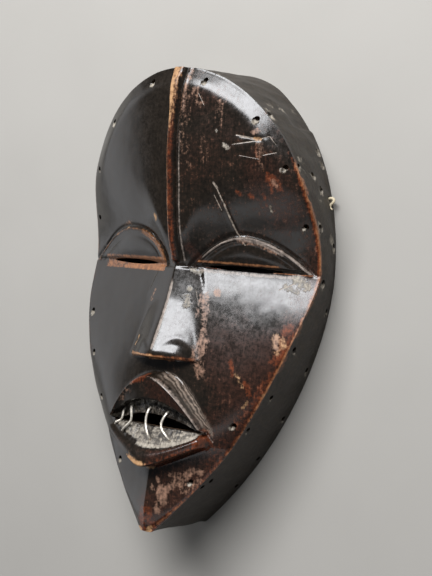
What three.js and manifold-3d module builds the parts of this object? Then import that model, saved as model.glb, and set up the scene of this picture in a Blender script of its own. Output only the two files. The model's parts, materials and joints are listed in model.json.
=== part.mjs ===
// A carved wooden face mask, hollow behind, lying on its back rim.
// The face looks up along +Z, the crown lies at +Y and the chin at -Y. Millimetres.
// The origin is on the plane of the back rim, in the middle of its length and width.

import * as THREE from 'three';
import { mergeVertices } from 'three/addons/utils/BufferGeometryUtils.js';
import Module from 'manifold-3d';

const wasm = await Module();
wasm.setup();

// Wood thicknesses and running gaps
const sideWall = 7;
const chinWall = 11;
const faceWall = 8;
const clearance = 0.3;
const sunk = 3;

// Front edge of the face and back rim, as reaches from the line of the eyes
const frontEdge = {
  half: 68.9,
  crown: 95.1,
  chin: 129.8,
  crownPower: 2.3,
  jawPower: 1.6,
  chinPower: 0.83,
  blunt: 3,
};
const backRim = {
  half: 66.3,
  crown: 100,
  chin: 130.5,
  crownPower: 2,
  jawPower: 1.75,
  chinPower: 0.85,
  blunt: 2,
};
const eyeLineY = (backRim.chin - backRim.crown) / 2;
const wallBulge = 1.2;

// Heights of the face above the plane of the rim
const foreheadZ = 49.9;
const browFall = 9.6;
const browFallFrom = 55;
const eyeCentreZ = 38;
const templeZ = 18.9;
const socket = { middleReach: 14, sideReach: 46, middleHalf: 14 };
const bridge = { rise: 2.3, half: 9 };
const foreheadCurve = { brow: 0.0048, crown: 0.0034, browRise: 20, crownRise: 80 };
const cheekRise = { centre: 8, centreReach: 18, centrePower: 1.2, edge: 17.5, edgeReach: 36, edgePower: 1.3 };
const muzzleRound = { power: 2, middle: 73.3, above: 30, below: 16 };
const jawRise = { from: 85.3, edge: 0.24, centre: 0.12 };
const chinTip = { length: 14, fall: 3.6 };

// Raised rib down the middle of the forehead, with a cut groove on its right
const rib = { half: 1.4, crownHalf: 2.5, widensAt: 70, height: 2, foot: 0.6, top: 95.1, bottom: 1.4, steps: 13 };
const groove = { gap: 0.2, width: 2, depth: 1.1 };

// Nose, a long wedge with a sharp ridge
const nose = { top: 1, length: 44.2, rootZ: 39.6, slope: 0.3, curve: 0.0019, rootHalf: 5.5, wingHalf: 19.3 };
const noseFlank = { spread: 0.9, fullness: 1.55, lift: 0.6, steps: 5 };
const noseTip = { length: 4, fall: 1.8 };

// Eyes: half-moon lids over straight slits. The right lid is a low arch, the left one is rounder by the nose.
const lids = {
  right: { inner: 8, peak: 36, outer: 66, height: 15.9, innerPower: 2, outerPower: 1.8, innerRound: 1 },
  left: { inner: 7.5, peak: 32, outer: 67.5, height: 17.6, innerPower: 2.2, outerPower: 1.85, innerRound: 2.2 },
};
const lidFoot = 1.9;
const lidSteps = 12;
const lidSwell = { edge: 1.2, dome: 1.3 };
const slit = { inner: 15.2, outer: 52.2, half: 1.5, rise: 0.6, power: 0.6, steps: 10 };

// Mouth: an arched upper lip and a pointed lower lip around an open slot
const upperLip = { top: 54.05, fall: 0.0772, power: 1.725, half: 28, z: 56.6, back: 0.0105, steps: 20 };
const upperLipFoot = { centre: 2, corner: 3, belly: 1.4 };
const upperLipInside = { top: 65.15, fall: 0.015, setBack: 2.1, recess: 5.2, share: 0.94 };
const mouthSlot = { top: 72.25, bottom: 78.65, fall: 0.0105, half: 24.4, steps: 12 };
const lowerLip = { half: 29, edge: 88.45, edgeRise: 0.0118, edgeZ: 52.5, edgeBack: 0.0085, backZ: 47, steps: 18 };
const lowerLipTip = { drop: 97.45, rise: 0.53, z: 57, back: 0.38, blunt: 4.5, thick: 1 };

// Hollows behind the mouth and the nose: drop below the eye line, and half lengths along X, Y and Z
const innerHollowZ = eyeCentreZ - 2;
const mouthHollow = { drop: (mouthSlot.top + mouthSlot.bottom) / 2, size: [22, 13, 7] };
const noseHollow = { drop: nose.top + 0.68 * nose.length, size: [9, 16, 7] };

// Edge bores. A place runs from 1 at the crown through 0 at the eye line to -1 at the chin,
// and a level runs from 0 at the rim to 1 at the front edge.
const boreRadius = 1.4;
const boreSides = 6;
const boreSlack = 1.1;
const cornerBore = { inset: 4.2, down: 4.2, past: 2 };
const cornerBores = {
  right: [0.973, 0.775, 0.534, 0.245, -0.58, -0.811],
  left: [0.973, 0.765, 0.507, 0.239, -0.214, -0.379, -0.549, -0.776],
};
const wallBores = [[0.439, 0.41], [0.502, 0.565], [-0.019, 0.77], [-0.272, 0.8], [-0.453, 0.79], [-0.79, 0.81]];
const rimBoreZ = 4;
const rimBores = [0.639, 0.572, 0.398, 0.161, -0.125, -0.352, -0.547, -0.713, -0.834];
const chinWallFrom = -0.8;

// Four bent wires that stand for teeth. Each runs from the recess behind the upper lip, at a share of the way
// from the lip's inner edge to the slot, to the shelf of the lower lip, at a share of the way out to its edge.
const wireRadius = 0.6;
const wireDepth = 2.6;
const wireLead = 0.4;
const wireBow = { down: 0.7, behindCrest: 5.3 };
const wireSides = 7;
const wireSteps = 12;
const wireUp = new THREE.Vector3(0, 0.35, -0.94);
const wireDown = new THREE.Vector3(0, -0.5, -0.87);
const wires = [
  { topX: -20.6, topShare: 0.24, middleX: -21, bottomX: -24.2, bottomShare: 0.66 },
  { topX: -13.9, topShare: 0.3, middleX: -12.4, bottomX: -17.4, bottomShare: 0.78 },
  { topX: -1.6, topShare: 0.67, middleX: -2, bottomX: 1, bottomShare: 0.62 },
  { topX: 8.7, topShare: 0.66, middleX: 7, bottomX: 12, bottomShare: 0.61 },
];

// End of plant fibre left in one of the rim bores
const fibre = { slack: 0.7, place: 2, lead: 1, out: 3.2, curl: 5, lift: 0.5, sides: 7, steps: 10 };

const clamp01 = (value) => Math.min(1, Math.max(0, value));
const lerp = (a, b, share) => a + (b - a) * share;
const point = (x, y, z) => new THREE.Vector3(x, y, z);

// Height of a place along the front edge
const levelOf = (place) => eyeLineY + place * (place > 0 ? frontEdge.crown : frontEdge.chin);

// Extra half width that blunts the tip of the chin
const bluntPower = 24;
const bluntChin = (edge, share) => edge.blunt * share ** bluntPower;

// Half width of an outline at a height y
function halfWidthAt(edge, y) {
  if (y >= eyeLineY) {
    const share = clamp01((y - eyeLineY) / edge.crown);
    return edge.half * Math.sqrt(1 - share ** edge.crownPower);
  }
  const share = clamp01((eyeLineY - y) / edge.chin);
  return edge.half * (1 - share ** edge.jawPower) ** edge.chinPower + bluntChin(edge, share);
}

// Points of an outline from the right temple over the crown, the left temple and the chin
function outline(edge, upperSteps, lowerSteps) {
  const points = [];
  const upper = (i, side) => {
    const angle = (i / upperSteps) * Math.PI / 2;
    const y = eyeLineY + edge.crown * Math.sin(angle) ** (2 / edge.crownPower);
    points.push(point(side * edge.half * Math.cos(angle), y, 0));
  };
  const lower = (i, side) => {
    const angle = (i / lowerSteps) * Math.PI / 2;
    const share = Math.sin(angle) ** (2 / edge.jawPower);
    const x = edge.half * Math.max(0, Math.cos(angle)) ** (2 * edge.chinPower) + bluntChin(edge, share);
    points.push(point(i === lowerSteps ? 0 : side * x, eyeLineY - edge.chin * share, 0));
  };
  for (let i = 0; i < upperSteps; i++) upper(i, 1);
  for (let i = upperSteps; i > 0; i--) upper(i, -1);
  for (let i = 0; i < lowerSteps; i++) lower(i, -1);
  for (let i = lowerSteps; i > 0; i--) lower(i, 1);
  return points;
}

// Height of the eye line: straight back from the nose root to the temples, with a small bridge between the eyes
const bridgeZ = (x) => bridge.rise * Math.exp(-((x / bridge.half) ** 2));
const eyeZ = (x) => lerp(eyeCentreZ, templeZ, Math.abs(x) / frontEdge.half) + bridgeZ(x);

// Forehead dome, which sinks into the eye sockets
function foreheadHeight(x, y) {
  const rise = y - eyeLineY;
  const middle = foreheadZ - browFall * clamp01((browFallFrom - rise) / browFallFrom) ** 2;
  const share = clamp01((rise - foreheadCurve.browRise) / (foreheadCurve.crownRise - foreheadCurve.browRise));
  const dome = middle - lerp(foreheadCurve.brow, foreheadCurve.crown, share) * x * x;
  const reach = lerp(socket.sideReach, socket.middleReach, Math.exp(-((x / socket.middleHalf) ** 2)));
  const sunken = (1 - clamp01(rise / reach)) ** 2;
  return lerp(dome, eyeZ(x), sunken);
}

// Cheeks, muzzle and keeled chin
function cheekHeight(x, y) {
  const drop = eyeLineY - y;
  const jaw = Math.max(0, drop - jawRise.from);
  const tip = Math.max(0, (drop - frontEdge.chin + chinTip.length) / chinTip.length);
  const centreShare = 1 - Math.exp(-((drop / cheekRise.centreReach) ** cheekRise.centrePower));
  const edgeShare = 1 - Math.exp(-((drop / cheekRise.edgeReach) ** cheekRise.edgePower));
  const centre = eyeCentreZ + cheekRise.centre * centreShare + jawRise.centre * jaw - chinTip.fall * tip * tip;
  const edge = templeZ + cheekRise.edge * edgeShare + jawRise.edge * jaw;
  const reach = drop > muzzleRound.middle ? muzzleRound.below : muzzleRound.above;
  const power = 1 + muzzleRound.power * Math.exp(-(((drop - muzzleRound.middle) / reach) ** 2));
  const width = Math.max(halfWidthAt(frontEdge, y), frontEdge.blunt);
  const fall = Math.max(0, centre - edge) * clamp01(Math.abs(x) / width) ** power;
  return centre - fall + bridgeZ(x) * (1 - centreShare);
}

const faceHeight = (x, y) => (y >= eyeLineY ? foreheadHeight(x, y) : cheekHeight(x, y));

// Closed solid through a row of closed loops with equal numbers of points, capped at both ends
function loft(loops) {
  const size = loops[0].length;
  const corners = loops.flat();
  const centre = (loop) => loop.reduce((sum, p) => sum.add(p), point(0, 0, 0)).divideScalar(size);
  corners.push(centre(loops[0]), centre(loops.at(-1)));
  const faces = [];
  for (let row = 0; row < loops.length - 1; row++) {
    for (let i = 0; i < size; i++) {
      const a = row * size + i;
      const b = row * size + ((i + 1) % size);
      faces.push([a, b, b + size], [a, b + size, a + size]);
    }
  }
  const last = (loops.length - 1) * size;
  for (let i = 0; i < size; i++) {
    const next = (i + 1) % size;
    faces.push([corners.length - 2, next, i], [corners.length - 1, last + i, last + next]);
  }
  let volume = 0;
  for (const [a, b, c] of faces) volume += corners[a].dot(corners[b].clone().cross(corners[c]));
  const geometry = new THREE.BufferGeometry().setFromPoints(corners);
  geometry.setIndex((volume > 0 ? faces : faces.map(([a, b, c]) => [a, c, b])).flat());
  return geometry;
}

function solidOf(geometry) {
  const bare = geometry.clone();
  bare.deleteAttribute('normal');
  bare.deleteAttribute('uv');
  const merged = mergeVertices(bare, 1e-4);
  const vertProperties = merged.attributes.position.array;
  const triVerts = Uint32Array.from(merged.index.array);
  return new wasm.Manifold(new wasm.Mesh({ numProp: 3, vertProperties, triVerts }));
}

function geometryOf(solid) {
  const { vertProperties, triVerts, numProp } = solid.getMesh();
  const corners = [];
  for (let i = 0; i < vertProperties.length; i += numProp) {
    corners.push(point(vertProperties[i], vertProperties[i + 1], vertProperties[i + 2]));
  }
  const geometry = new THREE.BufferGeometry().setFromPoints(corners);
  geometry.setIndex([...triVerts]);
  geometry.computeVertexNormals();
  return geometry;
}

// Straight bore from one point to another
function bore(from, to, radius, sides) {
  const along = to.clone().sub(from);
  const cylinder = new THREE.CylinderGeometry(radius, radius, along.length(), sides);
  const turn = new THREE.Quaternion().setFromUnitVectors(point(0, 1, 0), along.clone().normalize());
  cylinder.applyQuaternion(turn);
  cylinder.translate(...from.clone().add(to).multiplyScalar(0.5).toArray());
  return cylinder;
}

// Cut made straight through along Z by a flat outline
function throughCut(points, bottom, top) {
  const cut = new THREE.ExtrudeGeometry(new THREE.Shape(points), { depth: top - bottom, bevelEnabled: false });
  return cut.translate(0, 0, bottom);
}

// Outer block of the mask: rim, side wall, front edge, then the face drawn in to one point
function outerBlock() {
  const upperSteps = 16;
  const lowerSteps = 23;
  const wallRows = 3;
  const faceRows = 14;
  const front = outline(frontEdge, upperSteps, lowerSteps);
  const rim = outline(backRim, upperSteps, lowerSteps);
  const loops = [];
  for (let row = 0; row < wallRows; row++) {
    const share = row / wallRows;
    loops.push(front.map((p, i) => {
      const onWall = rim[i].clone().lerp(p, share);
      const out = onWall.clone().sub(point(0, eyeLineY, 0)).normalize();
      onWall.addScaledVector(out, wallBulge * Math.abs(out.x) * Math.sin(Math.PI * share));
      return onWall.setZ(share * faceHeight(p.x, p.y));
    }));
  }
  for (let row = 0; row < faceRows; row++) {
    const share = 1 - row / faceRows;
    loops.push(front.map((p) => {
      const x = p.x * share;
      const y = lerp(eyeLineY, p.y, share);
      return point(x, y, faceHeight(x, y));
    }));
  }
  return loft(loops);
}

// Hollow behind the face: it follows the face at one thickness, inside a steep wall
function hollow() {
  const upperSteps = 9;
  const lowerSteps = 12;
  const faceRows = 7;
  const below = 2;
  const narrowed = (edge, extra) => ({
    ...edge,
    half: edge.half - sideWall - extra,
    crown: edge.crown - sideWall - extra,
    chin: edge.chin - chinWall - extra,
  });
  const mouth = outline(narrowed(backRim, 0), upperSteps, lowerSteps);
  const floor = outline(narrowed(backRim, 3), upperSteps, lowerSteps);
  const loops = [mouth.map((p) => p.clone().setZ(-below)), mouth];
  for (let row = 0; row < faceRows; row++) {
    const share = 1 - row / faceRows;
    loops.push(floor.map((p) => {
      const x = p.x * share;
      const y = lerp(eyeLineY, p.y, share);
      return point(x, y, faceHeight(x, y) - faceWall);
    }));
  }
  return loft(loops);
}

function roundHollow({ drop, size }) {
  return new THREE.SphereGeometry(1, 14, 8).scale(...size).translate(0, eyeLineY - drop, innerHollowZ);
}

// Half width of the rib's flat top: it widens towards the crown
function ribHalf(rise) {
  return lerp(rib.half, rib.crownHalf, clamp01((rise - rib.widensAt) / (rib.top - rib.widensAt)));
}

function foreheadRib() {
  const loops = [];
  for (let step = 0; step <= rib.steps; step++) {
    const rise = lerp(rib.bottom, rib.top, step / rib.steps);
    const y = eyeLineY + rise;
    const z = faceHeight(0, y);
    const half = ribHalf(rise);
    const foot = half + rib.foot;
    loops.push([point(-foot, y, z - sunk), point(foot, y, z - sunk), point(foot, y, faceHeight(foot, y)),
      point(half, y, z + rib.height), point(-half, y, z + rib.height), point(-foot, y, faceHeight(foot, y))]);
  }
  return loft(loops);
}

// V-shaped groove cut beside the rib, running out over the crown
function ribGroove() {
  const loops = [];
  for (let step = 0; step <= rib.steps; step++) {
    const rise = lerp(rib.bottom + 1, rib.top + 2, step / rib.steps);
    const y = eyeLineY + rise;
    const left = ribHalf(rise) + rib.foot + groove.gap;
    const right = left + groove.width;
    const z = faceHeight(left, Math.min(y, eyeLineY + rib.top));
    loops.push([point(left, y, z + sunk), point(left + groove.width / 3, y, z - groove.depth),
      point(right, y, z), point(right, y, z + sunk)]);
  }
  return loft(loops);
}

// Height of the nose ridge below the top of the nose
function noseRidge(down) {
  const tip = clamp01((down - nose.length + noseTip.length) / noseTip.length);
  return nose.rootZ + nose.slope * down + nose.curve * down * down - noseTip.fall * tip * tip;
}

function noseWedge() {
  const steps = 12;
  const loops = [];
  for (let step = 0; step <= steps; step++) {
    const share = step / steps;
    const down = nose.length * share;
    const y = eyeLineY - nose.top - down;
    const half = lerp(nose.rootHalf, nose.wingHalf, share ** noseFlank.spread);
    const fullness = lerp(1, noseFlank.fullness, share ** 3);
    const loop = [];
    for (let i = -noseFlank.steps; i <= noseFlank.steps; i++) {
      const x = half * i / noseFlank.steps;
      const foot = faceHeight(x, y) + share * noseFlank.lift;
      const side = 1 - (Math.abs(i) / noseFlank.steps) ** fullness;
      loop.push(point(x, y, lerp(foot, noseRidge(down), side)));
    }
    const root = faceHeight(half, y) - sunk;
    loop.push(point(half, y, root), point(-half, y, root));
    loops.push(loop);
  }
  return loft(loops);
}

// Upper edge of an eyelid, steeper towards the nose
function lidArc(lid, x) {
  if (x >= lid.peak) {
    return eyeLineY + lid.height * (1 - clamp01((x - lid.peak) / (lid.outer - lid.peak)) ** lid.outerPower);
  }
  const share = 1 - clamp01((lid.peak - x) / (lid.peak - lid.inner)) ** lid.innerPower;
  return eyeLineY + lid.height * share ** (1 / lid.innerRound);
}

function eyelid(side) {
  const rows = 4;
  const lid = side > 0 ? lids.right : lids.left;
  const loops = [];
  for (let step = 0; step <= lidSteps; step++) {
    const angle = Math.PI * step / lidSteps;
    const reach = angle > Math.PI / 2 ? lid.outer - lid.peak : lid.peak - lid.inner;
    const x = lid.peak - reach * Math.cos(angle);
    const low = eyeLineY + lidFoot;
    const high = Math.max(lidArc(lid, x), low + clearance);
    const loop = [];
    for (let row = 0; row <= rows; row++) {
      const share = row / rows;
      const y = lerp(low, high, share);
      const raised = lidSwell.edge + lidSwell.dome * Math.sin(Math.PI * lerp(0.3, 1, share)) * Math.sin(angle);
      loop.push(point(side * x, y, faceHeight(x, y) + raised));
    }
    loop.push(point(side * x, high, faceHeight(x, high) - sunk), point(side * x, low, faceHeight(x, low) - sunk));
    loops.push(loop);
  }
  return loft(loops);
}

function eyeSlit(side) {
  const points = [];
  for (const edge of [1, -1]) {
    for (let step = 0; step < slit.steps; step++) {
      const share = edge > 0 ? step / slit.steps : 1 - step / slit.steps;
      const x = side * lerp(slit.inner, slit.outer, share);
      const open = slit.half * Math.sin(Math.PI * share) ** slit.power;
      points.push(new THREE.Vector2(x, eyeLineY + slit.rise + edge * open));
    }
  }
  return throughCut(points, 1, foreheadZ);
}

// Crest of the upper lip, its inner edge and the recess behind it
const lipCrestY = (x) => eyeLineY - upperLip.top - upperLip.fall * Math.abs(x) ** upperLip.power;
const lipCrestZ = (x) => upperLip.z - upperLip.back * x * x;
const lipInsideY = (x) => eyeLineY - upperLipInside.top - upperLipInside.fall * x * x;
const recessZ = (x) => lipCrestZ(x) - upperLipInside.setBack - upperLipInside.recess;
const slotTopY = (x) => eyeLineY - mouthSlot.top - mouthSlot.fall * x * x;
const slotBottomY = eyeLineY - mouthSlot.bottom;

function upperLipArch() {
  const loops = [];
  for (let step = 0; step <= upperLip.steps; step++) {
    const x = upperLip.half * Math.sin(lerp(-1, 1, step / upperLip.steps) * Math.PI / 2);
    const slope = upperLip.fall * upperLip.power * Math.abs(x) ** (upperLip.power - 1) * Math.sign(x);
    const corner = Math.abs(x) / upperLip.half;
    const foot = lerp(upperLipFoot.centre, upperLipFoot.corner, corner);
    const reach = foot + upperLipFoot.belly * Math.sin(Math.PI * corner);
    const out = new THREE.Vector2(slope, 1).normalize().multiplyScalar(reach);
    const y = lipCrestY(x);
    const inside = x * upperLipInside.share;
    const slotX = x * mouthSlot.half / upperLip.half;
    const footX = x + out.x;
    const footY = y + out.y;
    const footZ = faceHeight(footX, footY);
    const edgeZ = lipCrestZ(inside) - upperLipInside.setBack;
    const low = faceHeight(slotX, slotTopY(slotX)) - sunk;
    loops.push([
      point(footX, footY, footZ - sunk),
      point(footX, footY, footZ - clearance),
      point(x, y, lipCrestZ(x)),
      point(inside, lipInsideY(inside), edgeZ),
      point(inside, lipInsideY(inside) - clearance, edgeZ - upperLipInside.recess),
      point(slotX, slotTopY(slotX) - clearance, recessZ(slotX)),
      point(slotX, slotTopY(slotX) - clearance, low),
    ]);
  }
  return loft(loops);
}

// Lower lip: a sloping shelf in front of the slot, then a pointed face that hangs over the chin
const bluntX = (x) => Math.hypot(x, lowerLipTip.blunt) - lowerLipTip.blunt;
const lipShelfY = (x) => eyeLineY - lowerLip.edge + lowerLip.edgeRise * x * x;
const lipShelfZ = (x) => lowerLip.edgeZ - lowerLip.edgeBack * x * x;
const lipShelfBackZ = (x) => lowerLip.backZ - lowerLip.edgeBack * x * x / 4;

function lowerLipWedge() {
  const loops = [];
  for (let step = 0; step <= lowerLip.steps; step++) {
    const x = lowerLip.half * Math.sin(lerp(-1, 1, step / lowerLip.steps) * Math.PI / 2);
    const tipY = eyeLineY - lowerLipTip.drop + lowerLipTip.rise * bluntX(x);
    const tipZ = lowerLipTip.z - lowerLipTip.back * bluntX(x);
    const underY = tipY - lowerLipTip.thick;
    const under = faceHeight(x, underY) - clearance;
    loops.push([
      point(x, slotBottomY, lipShelfBackZ(x)),
      point(x, lipShelfY(x), lipShelfZ(x)),
      point(x, tipY, tipZ),
      point(x, underY, under),
      point(x, underY, under - sunk),
      point(x, slotBottomY, under - sunk),
    ]);
  }
  return loft(loops);
}

function mouthCut() {
  const points = [];
  for (let step = 0; step <= mouthSlot.steps; step++) {
    const x = lerp(-mouthSlot.half, mouthSlot.half, step / mouthSlot.steps);
    points.push(new THREE.Vector2(x, slotTopY(x)));
  }
  points.push(new THREE.Vector2(mouthSlot.half, slotBottomY), new THREE.Vector2(-mouthSlot.half, slotBottomY));
  return throughCut(points, innerHollowZ, upperLip.z + 1);
}

// Point on the side wall at a share of its height, and the way out from it, on the side given as 1 or -1
function wallPoint(place, share, side) {
  const y = levelOf(place);
  const step = 0.5;
  const frontZ = faceHeight(halfWidthAt(frontEdge, y), y);
  const widthAt = (level) => lerp(halfWidthAt(backRim, level), halfWidthAt(frontEdge, level), share);
  const turn = (widthAt(y - step) - widthAt(y + step)) / (2 * step);
  const out = new THREE.Vector2(1, turn).normalize();
  return { at: point(side * widthAt(y), y, share * frontZ), out: point(side * out.x, out.y, 0) };
}

// Bore through the front edge, from the face down and out to the side wall
function edgeBore(place, side) {
  const { at, out } = wallPoint(place, 1, side);
  const inner = at.clone().addScaledVector(out, -cornerBore.inset);
  inner.z = faceHeight(inner.x, inner.y);
  const outer = at.clone().setZ(at.z - cornerBore.down);
  const along = outer.clone().sub(inner).normalize();
  inner.addScaledVector(along, -cornerBore.past);
  outer.addScaledVector(along, cornerBore.past);
  return bore(inner, outer, boreRadius, boreSides);
}

// Bore through the side wall into the hollow, at a share of the wall's height
function sideBore(place, share, side) {
  const { at, out } = wallPoint(place, share, side);
  const inner = at.clone().addScaledVector(out, -(place < chinWallFrom ? chinWall : sideWall) - 2 * sunk);
  return bore(inner, at.clone().addScaledVector(out, cornerBore.past + wallBulge), boreRadius, boreSides);
}

// Spots where each wire leaves the recess behind the upper lip, bows and enters the shelf of the lower lip
function wirePoints({ topX, topShare, middleX, bottomX, bottomShare }) {
  const topY = lerp(lipInsideY(topX), slotTopY(topX), topShare);
  const middleY = lerp(slotTopY(middleX), slotBottomY, wireBow.down);
  const bottomY = lerp(slotBottomY, lipShelfY(bottomX), bottomShare);
  return {
    top: point(topX, topY, recessZ(topX)),
    middle: point(middleX, middleY, lipCrestZ(middleX) - wireBow.behindCrest),
    bottom: point(bottomX, bottomY, lerp(lipShelfBackZ(bottomX), lipShelfZ(bottomX), bottomShare)),
  };
}

function wireBores(wire) {
  const { top, bottom } = wirePoints(wire);
  const radius = (wireRadius + clearance) * boreSlack;
  const cut = (at, along) => {
    const inner = at.clone().addScaledVector(along, wireDepth + clearance);
    return bore(at.clone().addScaledVector(along, -cornerBore.past), inner, radius, boreSides);
  };
  return [cut(top, wireUp), cut(bottom, wireDown)];
}

function tubeAlong(points, radius, sides, steps) {
  const section = new THREE.Shape();
  for (let i = 0; i < sides; i++) {
    const angle = 2 * Math.PI * i / sides;
    section[i ? 'lineTo' : 'moveTo'](radius * Math.cos(angle), radius * Math.sin(angle));
  }
  const extrudePath = new THREE.CatmullRomCurve3(points, false, 'chordal');
  return new THREE.ExtrudeGeometry(section, { steps, extrudePath, bevelEnabled: false });
}

function wireTooth(wire) {
  const { top, middle, bottom } = wirePoints(wire);
  const points = [
    top.clone().addScaledVector(wireUp, wireDepth),
    top.clone().addScaledVector(wireUp, -wireLead),
    middle,
    bottom.clone().addScaledVector(wireDown, -wireLead),
    bottom.clone().addScaledVector(wireDown, wireDepth),
  ];
  return tubeAlong(points, wireRadius, wireSides, wireSteps);
}

// Share of the wall's height at which the rim bores run
const rimShare = (place) => rimBoreZ / wallPoint(place, 1, 1).at.z;

function fibreEnd() {
  const place = rimBores[fibre.place];
  const { at, out } = wallPoint(place, rimShare(place), 1);
  const reach = (distance, down, up) => at.clone().addScaledVector(out, distance).add(point(0, -down, up));
  const points = [reach(-sideWall / 2, 0, 0), reach(fibre.lead, 0, 0), reach(fibre.out, fibre.curl * 0.2, 0),
    reach(fibre.out, fibre.curl * 0.6, fibre.lift), reach(fibre.out + fibre.lift, fibre.curl, fibre.lift)];
  return tubeAlong(points, boreRadius - fibre.slack, fibre.sides, fibre.steps);
}

function maskBody() {
  const joined = [foreheadRib(), noseWedge(), eyelid(1), eyelid(-1), upperLipArch(), lowerLipWedge()];
  const cuts = [hollow(), ribGroove(), roundHollow(mouthHollow), roundHollow(noseHollow), mouthCut(),
    eyeSlit(1), eyeSlit(-1)];
  for (const place of cornerBores.right) cuts.push(edgeBore(place, 1));
  for (const place of cornerBores.left) cuts.push(edgeBore(place, -1));
  for (const side of [1, -1]) {
    for (const [place, share] of wallBores) cuts.push(sideBore(place, share, side));
    for (const place of rimBores) cuts.push(sideBore(place, rimShare(place), side));
  }
  for (const wire of wires) cuts.push(...wireBores(wire));
  let body = solidOf(outerBlock());
  for (const geometry of joined) body = body.add(solidOf(geometry));
  for (const geometry of cuts) body = body.subtract(solidOf(geometry));
  return geometryOf(body);
}

const wood = new THREE.MeshStandardMaterial({ color: 0x241b16, roughness: 0.35, metalness: 0 });
const wireMetal = new THREE.MeshStandardMaterial({ color: 0xb5aea0, roughness: 0.4, metalness: 1 });
const plantFibre = new THREE.MeshStandardMaterial({ color: 0xc9b48c, roughness: 0.8, metalness: 0 });

const mask = new THREE.Group();

function addPiece(name, geometry, material) {
  const piece = new THREE.Mesh(geometry, material);
  piece.name = name;
  mask.add(piece);
}

addPiece('mask_body', maskBody(), wood);
wires.forEach((wire, i) => addPiece(`wire_tooth_${i + 1}`, wireTooth(wire), wireMetal));
addPiece('fibre_peg', fibreEnd(), plantFibre);

export default mask;
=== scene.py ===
# %% [markdown]
# # A carved face mask with wire teeth
# The mask is one piece of hardwood, hollow behind, blackened and polished by years of handling.
# It lies on its back rim, so the face looks up along +Z, the crown is at +Y and the chin at -Y.
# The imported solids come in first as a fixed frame. Every piece made here stays inside their box.

# %% Load the frame
import json
import math
from functools import partial

import bmesh
import bpy
from mathutils import Matrix, Vector, kdtree, noise

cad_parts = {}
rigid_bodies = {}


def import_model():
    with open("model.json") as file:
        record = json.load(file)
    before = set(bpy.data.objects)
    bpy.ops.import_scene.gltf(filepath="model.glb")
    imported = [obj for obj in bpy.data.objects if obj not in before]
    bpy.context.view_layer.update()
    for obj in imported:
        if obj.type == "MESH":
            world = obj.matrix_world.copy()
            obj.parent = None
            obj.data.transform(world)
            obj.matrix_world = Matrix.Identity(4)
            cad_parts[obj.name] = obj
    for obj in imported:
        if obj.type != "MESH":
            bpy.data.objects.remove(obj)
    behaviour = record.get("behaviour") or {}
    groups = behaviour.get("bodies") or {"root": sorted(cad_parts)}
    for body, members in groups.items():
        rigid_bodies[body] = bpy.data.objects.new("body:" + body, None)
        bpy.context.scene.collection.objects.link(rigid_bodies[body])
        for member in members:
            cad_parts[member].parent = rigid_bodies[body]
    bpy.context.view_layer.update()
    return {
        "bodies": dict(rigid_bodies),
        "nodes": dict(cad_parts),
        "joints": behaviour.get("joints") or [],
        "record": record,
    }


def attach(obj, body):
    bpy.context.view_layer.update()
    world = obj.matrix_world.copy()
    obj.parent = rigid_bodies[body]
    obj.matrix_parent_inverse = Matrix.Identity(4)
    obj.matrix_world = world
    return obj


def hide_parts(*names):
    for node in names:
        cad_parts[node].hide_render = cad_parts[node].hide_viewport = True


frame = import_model()

# %% [markdown]
# ## Camera first
# The photograph shows the mask upright, turned 35 degrees to one side and rolled a little clockwise.
# The mask here lies down, so the camera hangs above it and looks along the same line of sight.

# %% Camera
MM = 0.001
CAMERA_TURN = math.radians(35)
CAMERA_LIFT = math.radians(0.7)
CAMERA_ROLL = math.radians(4.7)
CAMERA_DISTANCE = 619
CAMERA_AIM = (-2.58, 8.0)
FRAME_DROP = 2.7
LENS_MM = 75

view_right = Vector((math.cos(CAMERA_TURN), 0, -math.sin(CAMERA_TURN)))
view_back = Vector((
    math.sin(CAMERA_TURN) * math.cos(CAMERA_LIFT),
    math.sin(CAMERA_LIFT),
    math.cos(CAMERA_TURN) * math.cos(CAMERA_LIFT),
))
view_up = view_back.cross(view_right)
aim = view_right * CAMERA_AIM[0] + view_up * CAMERA_AIM[1] - Vector((0, FRAME_DROP, 0))
rolled_right = view_right * math.cos(CAMERA_ROLL) + view_up * math.sin(CAMERA_ROLL)
rolled_up = view_up * math.cos(CAMERA_ROLL) - view_right * math.sin(CAMERA_ROLL)

camera = bpy.data.objects.new("camera", bpy.data.cameras.new("camera"))
camera.data.lens = LENS_MM
camera.data.sensor_width = 36
camera.data.clip_start = 0.01
turn = Matrix((rolled_right, rolled_up, view_back)).transposed().to_4x4()
camera.matrix_world = Matrix.Translation((aim + view_back * CAMERA_DISTANCE) * MM) @ turn
bpy.context.collection.objects.link(camera)
bpy.context.scene.camera = camera
print("camera at", [round(v, 3) for v in camera.matrix_world.translation])

# %% [markdown]
# ## Small helpers
# Every mesh is drawn in millimetres and turned to metres when it becomes a piece.

# %% Helpers


def clamp(value, low=0.0, high=1.0):
    return min(high, max(low, value))


def lerp(a, b, share):
    return a + (b - a) * share


def smooth(share):
    share = clamp(share)
    return share * share * (3 - 2 * share)


def smooth_max(a, b, blend):
    """The larger of two heights, with a fillet where they cross."""
    share = clamp(0.5 + 0.5 * (a - b) / blend)
    return lerp(b, a, share) + blend * share * (1 - share)


def grain(x, y, z, size):
    """Noise from -1 to 1 with lumps of about the given size in millimetres."""
    return noise.noise(Vector((x, y, z)) / size)


def bell(distance, width):
    """1 at no distance, falling away smoothly on both sides."""
    return math.exp(-((distance / width) ** 2))


def open_edges(bm):
    return [edge for edge in bm.edges if edge.is_boundary]


def verts_of(made):
    return [item for item in made["geom"] if isinstance(item, bmesh.types.BMVert)]


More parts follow.
